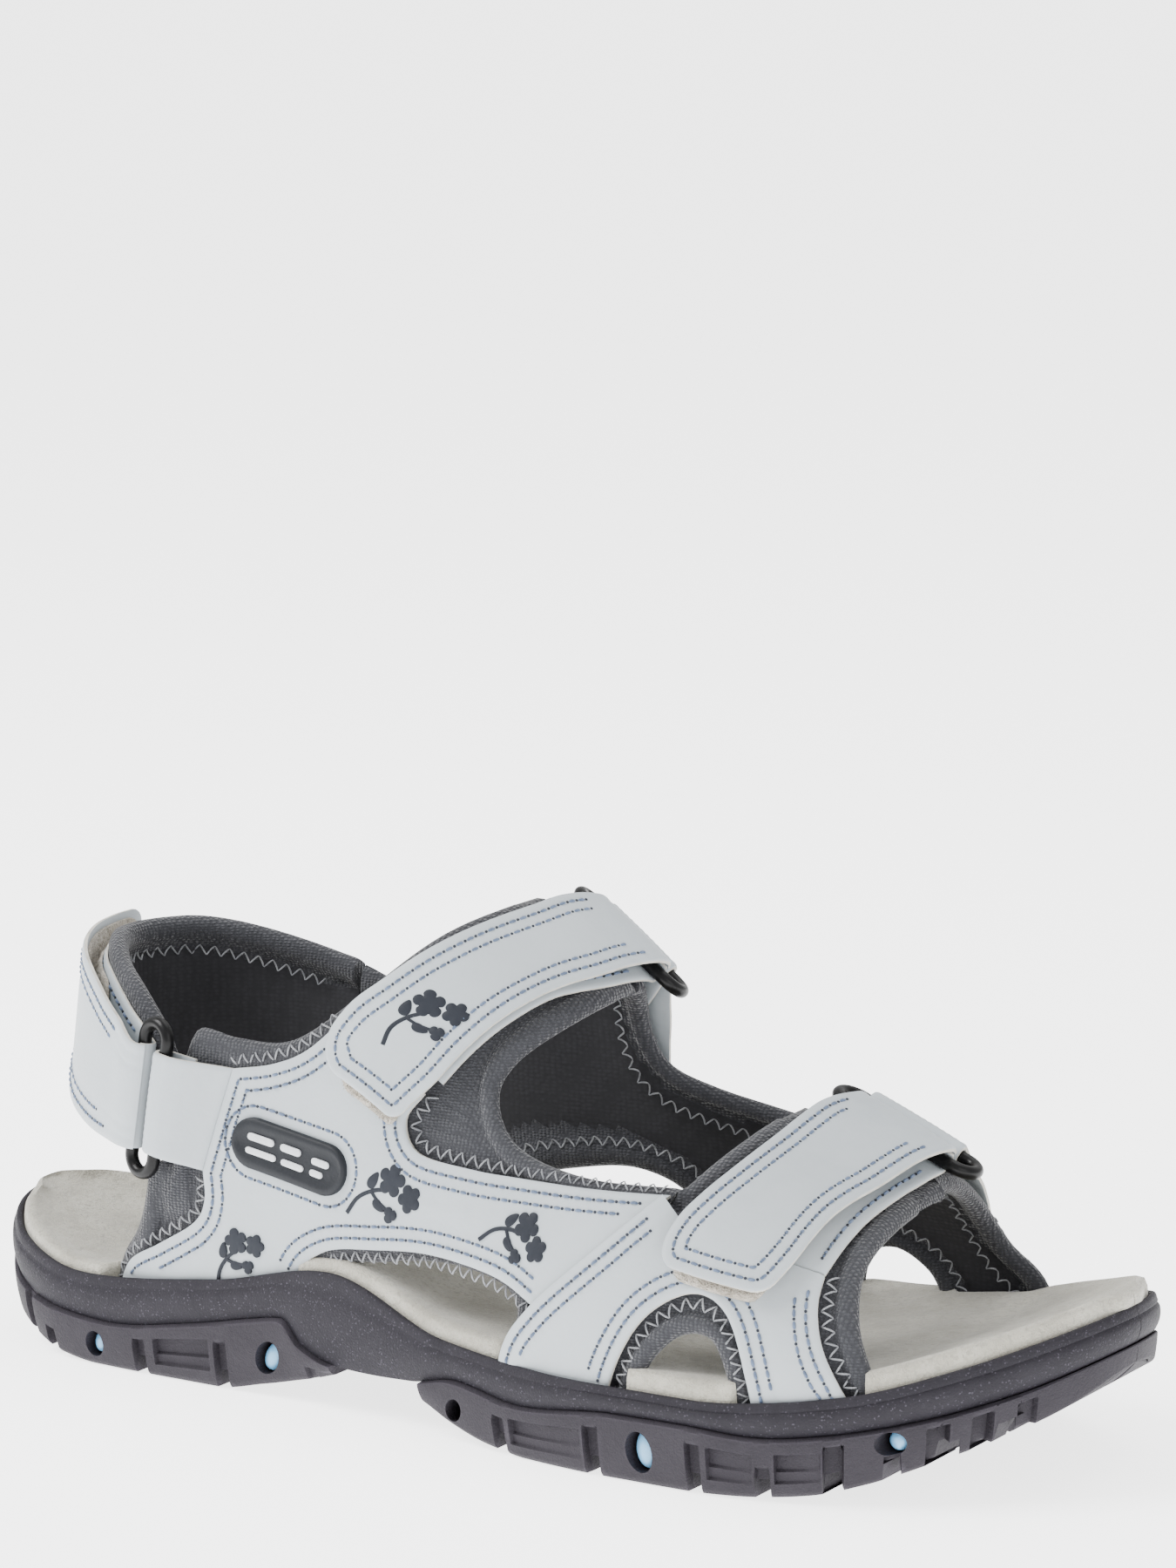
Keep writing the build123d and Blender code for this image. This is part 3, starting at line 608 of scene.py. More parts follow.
def material(name, base, rough, dark, mottle, bumps=(), sheen=0.0, coat=0.0, specular=0.5,
             spots=None, weave=None, edge_highlight=None):
    """Procedural material: mottled colour, layered bumps, and optional weave with painted shade in its gaps,
    sparkle, and a painted highlight on sharp convex edges.
    """
    made = bpy.data.materials.new(name)
    made.use_nodes = True
    nodes, links = made.node_tree.nodes, made.node_tree.links
    shader = nodes["Principled BSDF"]
    place = nodes.new("ShaderNodeTexCoord")

    def noise_node(scale, detail=4):
        node = nodes.new("ShaderNodeTexNoise")
        node.inputs["Scale"].default_value = scale
        node.inputs["Detail"].default_value = detail
        node.inputs["Roughness"].default_value = 0.55
        links.new(place.outputs["Object"], node.inputs["Vector"])
        return node

    def mix(factor, first, second, blend="MIX"):
        node = nodes.new("ShaderNodeMix")
        node.data_type = "RGBA"
        node.blend_type = blend
        for key, value in ((0, factor), (6, first), (7, second)):
            if isinstance(value, bpy.types.NodeSocket):
                links.new(value, node.inputs[key])
            else:
                node.inputs[key].default_value = value
        return node.outputs[2]

    def ramp(socket, low, high):
        node = nodes.new("ShaderNodeMapRange")
        node.inputs["From Min"].default_value = low
        node.inputs["From Max"].default_value = high
        links.new(socket, node.inputs["Value"])
        return node.outputs["Result"]

    tone = mix(ramp(noise_node(mottle).outputs["Fac"], 0.35, 0.65), dark, base)
    fine = noise_node(mottle * 14, 2)
    tone = mix(ramp(fine.outputs["Fac"], 0.3, 0.7), tone, mix(0.5, tone, base))
    if weave:
        scale, gap_shade, knit_deep = weave
        cells = nodes.new("ShaderNodeTexVoronoi")
        cells.feature = "F1"
        cells.inputs["Scale"].default_value = scale
        cells.inputs["Randomness"].default_value = 0.35
        stretch = nodes.new("ShaderNodeMapping")
        stretch.inputs["Scale"].default_value = (1.0, 1.0, 1.5)
        links.new(place.outputs["Object"], stretch.inputs["Vector"])
        links.new(stretch.outputs["Vector"], cells.inputs["Vector"])
        knit = ramp(cells.outputs["Distance"], 0.05, 0.6)
        # The weave's gaps, where its bumps sink, are painted towards black: painted shade in the knit's
        # recesses.
        tone = mix(knit, tone, mix(gap_shade, tone, (0.005, 0.005, 0.006, 1)))
    if spots:
        scale, threshold, spot = spots
        grains = nodes.new("ShaderNodeTexVoronoi")
        grains.inputs["Scale"].default_value = scale
        links.new(place.outputs["Object"], grains.inputs["Vector"])
        level = nodes.new("ShaderNodeSeparateColor")
        links.new(grains.outputs["Color"], level.inputs["Color"])
        tone = mix(ramp(level.outputs[0], threshold, 1.0), tone, spot)
    # Sharp convex edges are painted lighter: a painted highlight where edges catch the light.
    if edge_highlight:
        geometry = nodes.new("ShaderNodeNewGeometry")
        edge_highlight_mask = ramp(geometry.outputs["Pointiness"], 0.52, 0.6)
        tone = mix(edge_highlight_mask, tone, edge_highlight)
    links.new(tone, shader.inputs["Base Color"])
    uneven = nodes.new("ShaderNodeMapRange")
    uneven.inputs["To Min"].default_value = max(0.0, rough - 0.08)
    uneven.inputs["To Max"].default_value = min(1.0, rough + 0.08)
    links.new(fine.outputs["Fac"], uneven.inputs["Value"])
    links.new(uneven.outputs["Result"], shader.inputs["Roughness"])
    shader.inputs["Specular IOR Level"].default_value = specular
    shader.inputs["Sheen Weight"].default_value = sheen
    shader.inputs["Sheen Roughness"].default_value = 0.45
    shader.inputs["Coat Weight"].default_value = coat
    shader.inputs["Coat Roughness"].default_value = 0.18
    layers = [(noise_node(scale, 3).outputs["Fac"], deep) for scale, deep in bumps]
    if weave:
        layers.append((knit, -knit_deep))
    previous = None
    for socket, deep in layers:
        bump = nodes.new("ShaderNodeBump")
        bump.inputs["Strength"].default_value = 1.6
        bump.inputs["Distance"].default_value = deep * MM
        links.new(socket, bump.inputs["Height"])
        if previous:
            links.new(previous, bump.inputs["Normal"])
        previous = bump.outputs["Normal"]
    if previous:
        links.new(previous, shader.inputs["Normal"])
    return made


LEATHER_MAT = material("coated_leather", color(179, 186, 190), 0.5, color(171, 178, 183), 22,
                       bumps=((900, 0.05), (240, 0.06)), sheen=0.08, specular=0.35)
EDGE_MAT = material("raw_leather_edge", color(206, 204, 196), 0.85, color(178, 174, 164), 300,
                    bumps=((1500, 0.2),))
# Both lining cloths get painted shade in the gaps of their weave.
KNIT_MAT = material("knit_lining", color(76, 77, 82), 0.85, color(64, 65, 70), 90,
                    bumps=((700, 0.05),), sheen=0.3, weave=(1150, 0.5, 0.18), specular=0.2)
INNER_MAT = material("smooth_lining", color(52, 52, 56), 0.75, color(45, 45, 49), 70,
                     bumps=((600, 0.04),), sheen=0.15, weave=(760, 0.3, 0.05), specular=0.25)
SUEDE_MAT = material("brushed_suede", color(196, 193, 180), 0.95, color(166, 162, 149), 110,
                     bumps=((2600, 0.22), (420, 0.3), (95, 0.7)), sheen=0.5, specular=0.1,
                     spots=(1500, 0.62, color(170, 166, 154)))
MIDSOLE_MAT = material("midsole_foam", color(37, 35, 41), 0.62, color(31, 29, 35), 160,
                       bumps=((2300, 0.12), (700, 0.05)), spots=(3400, 0.93, color(66, 63, 72)), specular=0.2)
# The tread is painted lighter on its sharp convex edges: a painted highlight.
TREAD_MAT = material("tread_rubber", color(45, 42, 48), 0.66, color(38, 35, 41), 120,
                     bumps=((2600, 0.13), (900, 0.1)), specular=0.22, edge_highlight=color(62, 58, 66))
POD_MAT = material("pod_gel", color(128, 188, 228), 0.3, color(112, 174, 217), 60,
                   bumps=((500, 0.03),), coat=0.5)
RING_MAT = material("ring_plastic", color(9, 9, 10), 0.34, color(6, 6, 7), 80,
                    bumps=((900, 0.02),), coat=0.06, specular=0.2)
BADGE_MAT = material("badge_rubber", color(34, 36, 40), 0.5, color(28, 30, 34), 100, bumps=((1500, 0.04),),
                     specular=0.2)
MARK_MAT = material("badge_mark", color(214, 217, 220), 0.5, color(196, 200, 204), 200, bumps=((1500, 0.04),))
PRINT_MAT = material("print_ink", color(36, 39, 46), 0.55, color(31, 34, 41), 150, bumps=((1200, 0.02),),
                     specular=0.2)
THREAD_MAT = material("blue_thread", color(100, 117, 144), 0.8, color(70, 83, 106), 700,
                      bumps=((2500, 0.1),), sheen=0.3)
ZIGZAG_MAT = material("grey_thread", color(150, 152, 156), 0.8, color(96, 98, 104), 500,
                      bumps=((2500, 0.1),), sheen=0.3)
# Dark colour of the needle-hole dots: painted shade standing in for the depth of each hole.
HOLE_SHADE_MAT = material("needle_hole_shade", color(42, 46, 56), 0.9, color(34, 38, 47), 300, bumps=((900, 0.02),))
TAPE_MAT = material("hook_and_loop", color(200, 192, 178), 0.95, color(150, 140, 124), 420,
                    bumps=((1900, 0.5), (800, 0.4)), sheen=0.4)
STEEL_MAT = material("shank_steel", color(170, 172, 176), 0.35, color(150, 152, 156), 40,
                     bumps=((300, 0.02),))
BOARD_MAT = material("fibre_board", color(178, 160, 130), 0.9, color(150, 134, 108), 150, bumps=((900, 0.1),))


# ---- sole -----------------------------------------------------------------------------------------
SOLE_END_DEG = 89.93
GROOVES_HEEL = (-104, -79, -58)
GROOVES_FORE = (16, 39, 62, 76, 89, 99, 108, 116)
GROOVE_HALF = 1.5
GROOVE_DEPTH = 3.6
HEEL_SPAN = (-129, -29)
FORE_SPAN = (-5, 129)
# Ledge-framed panels in the tread's side wall, then slots: x, half width, share of the height, depth
LEDGES = [(-75, -61), (19, 36.5), (65, 74), (78.5, 87)]
SLOTS = [(-111, 1.3, 1.2, 1.3), (-104, 1.5, 0.5, 1.6), (-79, 1.6, 0.75, 1.9), (-58, 1.6, 0.72, 1.9),
         (-34.5, 1.2, 0.5, 1.0), (16, 1.5, 0.72, 1.9), (39, 1.7, 0.8, 2.0), (62, 1.6, 0.78, 2.0),
         (76, 1.4, 0.55, 1.6), (89, 1.8, 0.85, 2.4), (99, 1.4, 0.5, 1.8), (106, 1.7, 0.85, 3.0),
         (112.5, 1.4, 0.85, 3.0), (118.5, 1.2, 0.8, 2.6)]
# Windows in the side wall, and the open drain hole: x, z, half length, half height, lean in degrees
WINDOWS = [(-91, 4.8, 2.4, 2.9, 12), (-46, 8.6, 2.8, 3.9, 28), (50, 6.6, 3.0, 4.3, -6),
           (99, 12.9, 2.7, 2.4, -18)]
DRAIN = (4, 6.8, 2.0, 2.7, 30)
OUTSOLE_ROWS = 26
MIDSOLE_ROWS = 16
TREAD_SHARP = 34


def stations(span, marks):
    """Angles along the sole: dense at its round ends, with a pair at each edge of a mark."""
    low, high = (math.degrees(math.asin(x / SOLE_HALF)) for x in span)
    base = np.linspace(max(low, -SOLE_END_DEG), min(high, SOLE_END_DEG), int((high - low) * 1.9))
    extra = [x + side * half + shift for x, half in marks for side in (-1, 1) for shift in (-0.18, 0.18)]
    extra = [math.degrees(math.asin(x / SOLE_HALF)) for x in extra if span[0] + 1 < x < span[1] - 1]
    both = np.sort(np.concatenate([base, extra]))
    kept = both[np.concatenate([[True], np.diff(both) > 0.05])]
    return np.radians(kept)


def outline_at(angle, medial):
    """Points of the sole's outline in plan with their outward directions."""
    knots = MEDIAL_BENT if medial else LATERAL_BENT
    x = SOLE_HALF * np.sin(angle)
    point = np.stack([x, curve(angle, knots)], -1)
    ahead = np.stack([SOLE_HALF * (np.sin(angle + 0.01) - np.sin(angle - 0.01)),
                      curve(angle + 0.01, knots) - curve(angle - 0.01, knots)], -1)
    ahead = unit(ahead)
    side = 1 if medial else -1
    return point, np.stack([-ahead[:, 1], ahead[:, 0]], -1) * side


def groove(x, marks):
    """1 in a tread groove, 0 beside it."""
    return np.max([np.abs(x - mark) < GROOVE_HALF for mark in marks], axis=0).astype(float)


def wall_points(angle, medial, heights, insets):
    """Rows of a side wall. heights and insets are stations by rows."""
    point, out = outline_at(angle, medial)
    plan = point[:, None] - out[:, None] * insets[..., None]
    return np.concatenate([plan, heights[..., None]], -1)


def loft(rings):
    """Closed mesh through equal rings of points, with both ends capped."""
    count, size = rings.shape[:2]
    k = np.arange(size)
    faces = []
    for i in range(count - 1):
        a, b = i * size + k, i * size + (k + 1) % size
        faces += list(zip(a, b, b + size, a + size))
    faces.append(tuple(range(size - 1, -1, -1)))
    faces.append(tuple(range((count - 1) * size, count * size)))
    return rings.reshape(-1, 3), faces


def across(first, last, count, z):
    """Rows of points from one side of the sole to the other, without the two sides themselves."""
    w = np.linspace(0, 1, count)[None, 1:-1, None]
    plan = first[:, None, :2] * (1 - w) + last[:, None, :2] * w
    height = z(plan[..., 0], w[0, :, 0][None]) if callable(z) else z[:, None] * np.ones(count - 2)[None]
    return np.concatenate([plan, height[..., None]], -1)


def tread_side(x, t):
    """How far the tread's side wall stands out at x, and t of the way up it."""
    out = 1.0 - 1.9 * (1 - t)**1.8 - 1.0 * step_up(t, 0.95, 1.0) - 0.5 * step_up(1 - t, 0.93, 1.0)
    for low, high in LEDGES:
        fade = np.where(low > 0, 1 - 0.7 * np.clip((x - low) / (high - low), 0, 1), 1.0)
        fade = fade * ((x > low) & (x < high))
        out = out - fade * (0.7 * ((t > 0.46) & (t < 0.74)) + 0.8 * ((t > 0.27) & (t < 0.74)))
    for place, half, top, deep in SLOTS:
        out = out - deep * (np.abs(x - place) < half) * (1 - step_up(t, top - 0.08, top))
    return out


def build_outsole(name, span, marks):
    edges = [(g, GROOVE_HALF) for g in marks] + [(s[0], s[1]) for s in SLOTS]
    edges += [((low + high) / 2, (high - low) / 2) for low, high in LEDGES]
    angle = stations(span, edges)
    x = SOLE_HALF * np.sin(angle)
    low = tread(x) + GROOVE_DEPTH * groove(x, marks) * (tread(x) + GROOVE_DEPTH < split(x) - 1.5)
    t = np.linspace(0, 1, OUTSOLE_ROWS)[None]
    heights = low[:, None] + (split(x) - low)[:, None] * t
    share = np.clip((heights - tread(x)[:, None]) / (split(x) - tread(x))[:, None], 0, 1)
    insets = -tread_side(x[:, None], share) * (1 - 0.75 * step_up(np.abs(x), 110, 128))[:, None]
    lateral = wall_points(angle, False, heights, insets)
    medial = wall_points(angle, True, heights, insets)

    def pattern(px, w):
        """Tread relief: a channel along the middle and chevron cuts between the cross grooves."""
        base = np.broadcast_to(low[:, None], px.shape)
        channel = np.abs(w - 0.5 - 0.03 * np.sin(px / 9)) < 0.035
        chevron = (np.abs((px + 26 * np.abs(w - 0.5)) % 13 - 6.5) < 0.9) & (np.abs(w - 0.5) > 0.1)
        chevron = chevron & (np.abs(w - 0.5) < 0.4)
        room = np.broadcast_to((split(x) - low)[:, None], px.shape)
        cut = np.where(channel, 2.0, np.where(chevron, 1.3, 0.0))
        return base + np.minimum(cut, room - 1.2) * (room > 1.5)

    bottom = across(medial[:, 0], lateral[:, 0], 72, pattern)
    top = across(lateral[:, -1], medial[:, -1], 8, split(x))
    rings = np.concatenate([lateral, top, medial[:, ::-1], bottom], 1)
    return new_object(name, *loft(rings), TREAD_MAT, "root", "tread_rubber", [name], sharp=TREAD_SHARP)


def oval_plugs(windows, profile, count, trim=(0, 0), shift=0.0, clear=-math.inf):
    """Leaning oval plugs at windows in both side walls. profile lists (distance in from the wall, size)."""
    plugs = []
    for x, z, half_x, half_z, lean in windows:
        tilt = math.radians(lean)
        for medial in (False, True):
            wall, side = float(sole_edge(x, medial)), 1 if medial else -1
            rings = []
            for deep, size in profile:
                ring = []
                for angle in (2 * math.pi * k / count for k in range(count)):
                    u = (half_x - trim[0]) * size * math.cos(angle) + shift
                    v = (half_z - trim[1]) * size * math.sin(angle)
                    ring.append((x + u * math.cos(tilt) + v * math.sin(tilt), wall - side * deep,
                                 max(z - u * math.sin(tilt) + v * math.cos(tilt), float(tread(x)) + clear)))
                rings.append(ring)
            plugs.append(loft(np.array(rings)))
    return join(plugs)


def cut_windows(piece, windows, deep):
    """Cuts windows into both side walls of a piece, with the cut's result kept as its mesh."""
    plugs = oval_plugs(windows, [(-4, 1), (deep, 1)], 28)
    cutter = new_object("window_cutter", *plugs, TREAD_MAT, None, None)
    cut = piece.modifiers.new("windows", "BOOLEAN")
    cut.object = cutter
    cut.solver = "EXACT"
    cut.use_self = True
    bpy.context.view_layer.update()
    made = bpy.data.meshes.new_from_object(piece.evaluated_get(bpy.context.evaluated_depsgraph_get()))
    piece.modifiers.clear()
    piece.data = made
    made.set_sharp_from_angle(angle=math.radians(TREAD_SHARP))
    bpy.data.objects.remove(cutter)


outsole_heel = build_outsole("outsole_heel", HEEL_SPAN, GROOVES_HEEL)
outsole_fore = build_outsole("outsole_forefoot", FORE_SPAN, GROOVES_FORE)
cut_windows(outsole_heel, WINDOWS[:2], 12)
cut_windows(outsole_fore, WINDOWS[2:] + [DRAIN], 14)


def build_midsole():
    """Foam midsole: a softly bulging wall, a rounded rim and the recess that holds the footbed."""
    angle = stations((-129, 129), [])
    x = SOLE_HALF * np.sin(angle)
    t = np.linspace(0, 1, MIDSOLE_ROWS)[None]
    low, high = split(x), rim(x) - 1.1
    heights = low[:, None] + (high - low)[:, None] * t
    lip = 0.35 * np.exp(-((t - 0.86) / 0.05)**2)
    insets = 0.5 * (1 - t) - 1.0 * np.sin(math.pi * np.clip(t, 0, 1))**0.8 + lip + np.zeros_like(heights)
    walls = [wall_points(angle, side, heights, insets) for side in (False, True)]
    turn = np.radians(np.linspace(0, 180, 9))[None, 1:]
    round_height = rim(x)[:, None] - 1.1 + 1.1 * np.sin(turn)
    round_inset = 0.85 - 0.85 * np.cos(turn) + np.zeros_like(round_height)
    lips = [wall_points(angle, side, round_height, round_inset) for side in (False, True)]
    floor_height = (rim(x) - 4)[:, None]
    floor_inset = np.full_like(floor_height, 1.8)
    feet = [wall_points(angle, side, floor_height, floor_inset) for side in (False, True)]
    floor = across(feet[0][:, 0], feet[1][:, 0], 12, rim(x) - 4)
    under = across(walls[1][:, 0], walls[0][:, 0], 12, split(x))
    rings = np.concatenate([walls[0], lips[0], feet[0], floor, feet[1], lips[1][:, ::-1],
                            walls[1][:, ::-1], under], 1)
    new_object("midsole", *loft(rings), MIDSOLE_MAT, "root", "midsole_foam", ["midsole"], sharp=50)


build_midsole()


# Gel pods with domed faces, sunk in the windows: distance in from the wall, share of the full size
POD_DOME = [(10.5, 1.0), (3.4, 1.0), (2.6, 0.96), (1.9, 0.84), (1.4, 0.62), (1.15, 0.34), (1.1, 0.1)]
new_object("cushion_pods", *oval_plugs(WINDOWS, POD_DOME, 32, (0.45, 0.3), 0.3, 0.3), POD_MAT, "root",
           "pod_plastic", ["cushion_pods"])

# Stretches of the sole, by side, where the upper stands over the footbed's edge
COVERED = {False: [(-88, -42), (17, 43), (72, 92)], True: [(-88, -42), (26, 50), (75, 94)]}


def drawn_in(x, medial):
    """How far the footbed's edge is drawn in, so that it stays inside the upper."""
    spans = [step_up(x, low - 3, low) * (1 - step_up(x, high, high + 3)) for low, high in COVERED[medial]]
    return 5.2 * np.max(spans, axis=0)


def build_footbed():
    """Moulded footbed: suede on top, rolled down over a foam edge, slightly cupped."""
    angle = stations((-129, 129), [])
    x = SOLE_HALF * np.sin(angle)
    half = (sole_edge(x, True) - sole_edge(x, False)) / 2
    scale = np.clip(half / 9, 0.05, 1)[:, None]
    top = footbed_top(x)[:, None] + 0.2
    base = rim(x)[:, None]
    levels = [base - 2.6, base - 0.6, base * 0.45 + top * 0.55 - 0.4, top - 0.25, top + 0.1]
    insets = np.array([[1.8, 1.75, 1.9, 2.5, 3.9]]) * np.maximum(scale, 0.4)
    walls = [wall_points(angle, side, np.concatenate(levels, 1), insets + drawn_in(x, side)[:, None])
             for side in (False, True)]
    edge = top[:, 0] + 0.1

    def cup(px, w):
        span = np.abs(2 * w - 1)
        dip = 1.9 * (1 - span**3) * scale + 0.5 * np.exp(-((px - 20) / 60)**2) * (1 - span)
        ripple = 0.12 * np.sin(px / 7 + 3 * w) + 0.1 * np.sin(px / 3.3 - 9 * w)
        return edge[:, None] - dip + ripple * (1 - span**6)

    face = across(walls[0][:, -1], walls[1][:, -1], 46, cup)
    under = across(walls[1][:, 0], walls[0][:, 0], 12, rim(x) - 2.6)
    rings = np.concatenate([walls[0], face, walls[1][:, ::-1], under], 1)
    return new_object("footbed", *loft(rings), SUEDE_MAT, "root", "suede", ["footbed", "footbed_cover"],
                      sharp=60)


build_footbed()

# ---- upper: linings and overlays ------------------------------------------------------------------
FLOOR = 8.0             # height at which outlines are closed; side_outline lifts it to just under the rim
# Linings: medial, outline runs, runs with a rolled edge
LINING_RUNS = {
    "lateral_quarter_lining": (False, [
        [(-91, FLOOR), (-91, 13), (-87, 24), (-83, 30), (-81, 36)], [(-80, 44)], [(-73, 45.5)],
        [(-70.5, 68), (-67, 74), (-57, 73), (-44, 74), (-30, 84), (-17, 96)], [(-8, 101)], [(6, 108)],
        [(18, 92), (14, 83), (5, 73), (4, 66), (11, 58), (26, 54)], [(47, 53)], [(28, FLOOR)],
        [(14, FLOOR), (17, 24), (17, 30), (10, 33.5), (-3, 34.5), (-19, 32), (-30, 28)],
        [(-39, FLOOR)]], [0, 2, 3, 5, 6, 9]),
    "lateral_vamp_lining": (False, [
        [(28.5, FLOOR)], [(47.5, 53.3)], [(52, 60)], [(60, 74)],
        [(90, 60), (87, 50), (86, 42), (89, 33), (94, 22)], [(96, FLOOR)],
        [(69, FLOOR), (67, 20), (62.5, 28.5), (56, 29), (50.5, 24.5), (47, 18)],
        [(46, FLOOR)]], [1, 2, 4, 6]),
    "medial_quarter_lining": (True, [
        [(-91, FLOOR), (-91, 13), (-87, 24), (-83, 30), (-80, 38)], [(-77, 42)], [(-61, 43)],
        [(-61, 79), (-48, 76), (-36, 80), (-22, 92)], [(-8, 100)], [(6, 108)],
        [(18, 92), (12, 78), (14, 67), (25, 61.5)], [(47, 56)], [(34, FLOOR)],
        [(22, FLOOR), (21, 31), (16, 39), (6, 42.5), (-6, 41.5), (-19, 38), (-31, 30)],
        [(-38, FLOOR)]], [0, 3, 5, 6, 9]),
    "medial_vamp_lining": (True, [
        [(34.5, FLOOR)], [(47.5, 56.3)], [(55, 62)], [(60, 72)], [(88, 60), (84, 46), (87, 34), (95, 26)],
        [(99, FLOOR)], [(73, FLOOR), (70, 22), (66, 27.5), (60, 30), (54.5, 26)],
        [(52, FLOOR)]], [1, 2, 4, 6]),
}
TAB_LOW, TAB_HIGH = (-64, 45), (-57, 67)          # where the lateral quarter runs on into the heel ring's tab
# Overlays: medial, outline runs, runs with a double stitch row, runs with a zigzag on the lining beside them
OVERLAY_RUNS = {
    "lateral_quarter": (False, [
        [(-86, FLOOR), (-86, 16), (-83, 23), (-75, 28), (-66, 34), (-63.5, 39)], [TAB_LOW],
        [TAB_HIGH, (-47, 69), (-39, 72.5)], [(-31, 79.5)],
        [(-11, 66), (-14, 61), (-10, 55), (3, 53), (17, 52), (31, 51.3)], [(46, 51), (37, 41)],
        [(24, 29.5), (13, 34), (-3, 36), (-18, 35), (-32, 32.5), (-40, 25)],
        [(-41, FLOOR)]], [0, 1, 2, 4, 6], [0, 2, 4, 6]),
    "lateral_vamp": (False, [
        [(14.5, FLOOR), (16.5, 21), (22.5, 29.6), (35, 41)], [(45, 50.6)], [(51.5, 46.3)],
        [(80.3, 39.4), (81.2, 35), (83.8, 29), (87.8, 22.5), (91.4, 16)], [(92, FLOOR)],
        [(74, FLOOR), (70.5, 23), (65, 33), (57, 36), (48, 31), (42, 20)],
        [(40, FLOOR)]], [0, 3, 5], [3, 5]),
    "medial_quarter": (True, [
        [(-86, FLOOR), (-86, 16), (-83, 22), (-75, 28), (-66, 33)], [(-61, 41)],
        [(-58, 66), (-47, 69), (-33, 75), (-20, 84.5)], [(-10, 88)], [(-10, 82)],
        [(9, 70.3), (13, 61), (24, 55.5)], [(42, 53)],
        [(31, 37), (22, 42), (8, 46.5), (-8, 45.5), (-24, 40), (-35, 33), (-41, 24)],
        [(-42, FLOOR)]], [0, 1, 2, 5, 7], [0, 2, 5, 7]),
    "medial_vamp": (True, [
        [(25.5, FLOOR), (30.5, 36.8)], [(41.5, 53.2)], [(58, 46)], [(61, 43)],
        [(82, 38), (84, 32), (92, 24)], [(95, FLOOR)],
        [(77, FLOOR), (73, 24), (66, 33), (56, 34), (49, 27)], [(47, FLOOR)]], [0, 4, 6], [4, 6]),
}
STITCH_ROWS = (2.3, 4.8)
SEAM_ROWS = (0.35, 1.0, 1.8, 2.5, 3.2, 4.4, 5.2, 6.0)      # rows of points that carry two pressed-in seams
LINING_ROLL = 5.2
LINING_ZIGZAG = (2.2, 3.2, 0.19)        # width, pitch and thread radius
stitches, zigzags, needle_hole_shades = Thread(), Thread(), Thread()


def dark_inside(piece, gap, roll):
    """Smooth dark cloth on the inner face of a lining, inside its rolled edge."""
    piece.data.materials.append(INNER_MAT)
    for polygon in piece.data.polygons:
        corners = [i - len(gap) for i in polygon.vertices]
        if min(corners) >= 0 and gap[corners].min() > roll:
            polygon.material_index = 1


def padded_lining(name, skin, outline, source, rolled, roll, puff, rows):
    """Knit-faced foam with rolled edges and smooth dark cloth inside."""
    verts, faces, _, gap = panel_mesh(skin, outline, *lining_depths(roll, puff), 1.7, rows, source, rolled)
    piece = new_object(name, verts, faces, KNIT_MAT, "root", "lining", [name], sharp=75)
    dark_inside(piece, gap, roll)


def build_lining(name, medial, runs, rolled):
    outline, source = side_outline(runs, medial, 1.3)
    padded_lining(name, OVER, outline, source, rolled, LINING_ROLL, 0.75,
                  (0.35, 0.9, 1.6, 2.5, 3.5, 4.6))
    zigzag_rows(zigzags, OVER, outline, source, rolled, 6.1, -0.5, *LINING_ZIGZAG)


def build_overlay(name, medial, runs, stitched, zigzagged):
    """Leather overlay with its stitches. A vamp's rear edge laps over the quarter behind it."""
    outline, source = side_outline(runs, medial, 1.1)
    lap = outline[source == 0] * OVER.scale if name.endswith("vamp") else None
    flat_inner, flat_outer = leather_depths(OVERLAY_IN, seams=STITCH_ROWS)

    def inner(gap, a, b):
        return flat_inner(gap, a, b) + lap_lift(lap, a, b)

    def outer(gap, a, b):
        return flat_outer(gap, a, b) + lap_lift(lap, a, b)

    verts, faces, sheet, _ = panel_mesh(OVER, outline, inner, outer, 1.8, SEAM_ROWS, source, stitched)
    new_object(name, verts, faces, LEATHER_MAT, "root", "overlay", [name], 55, EDGE_MAT, sheet)
    stitch_rows(stitches, needle_hole_shades, OVER, outline, source, stitched, STITCH_ROWS,
                OVERLAY_OUT + 0.02, lap)
    zigzag_rows(zigzags, OVER, outline, source, zigzagged, -1.7, LINING + 0.25, 2.6, 3.0, 0.2)


for name, (medial, runs, rolled) in LINING_RUNS.items():
    build_lining(name, medial, runs, rolled)
for name, (medial, runs, stitched, zigzagged) in OVERLAY_RUNS.items():
    build_overlay(name, medial, runs, stitched, zigzagged)

# ---- heel collar ----------------------------------------------------------------------------------
COLLAR_LOW = [(-56, 47), (-40, 46), (-15, 48), (20, 48), (64, 44)]
COLLAR_HIGH = [(-56, 66), (-50, 73), (-35, 82), (-10, 88), (20, 88), (64, 80)]
COLLAR_TOP_ROLL = 6.5


def build_collar():
    places = np.linspace(-55, 64.5, 100)
    low = np.stack([places, curve(places, COLLAR_LOW)], 1)
    high = np.stack([places, curve(places, COLLAR_HIGH)], 1)[::-1]
    outline, source = joined_runs([low[::4], [low[-1], high[0]], high[::4], [high[-1], low[0]]], 1.3)
    rolled = [0, 2, 3]
    padded_lining("heel_collar", AROUND, outline, source, rolled, COLLAR_TOP_ROLL, 0.9,
                  (0.4, 1.0, 1.9, 3.0, 4.2, 5.6))
    zigzag_rows(zigzags, AROUND, outline, source, rolled, 7.0, -0.55, *LINING_ZIGZAG)


build_collar()


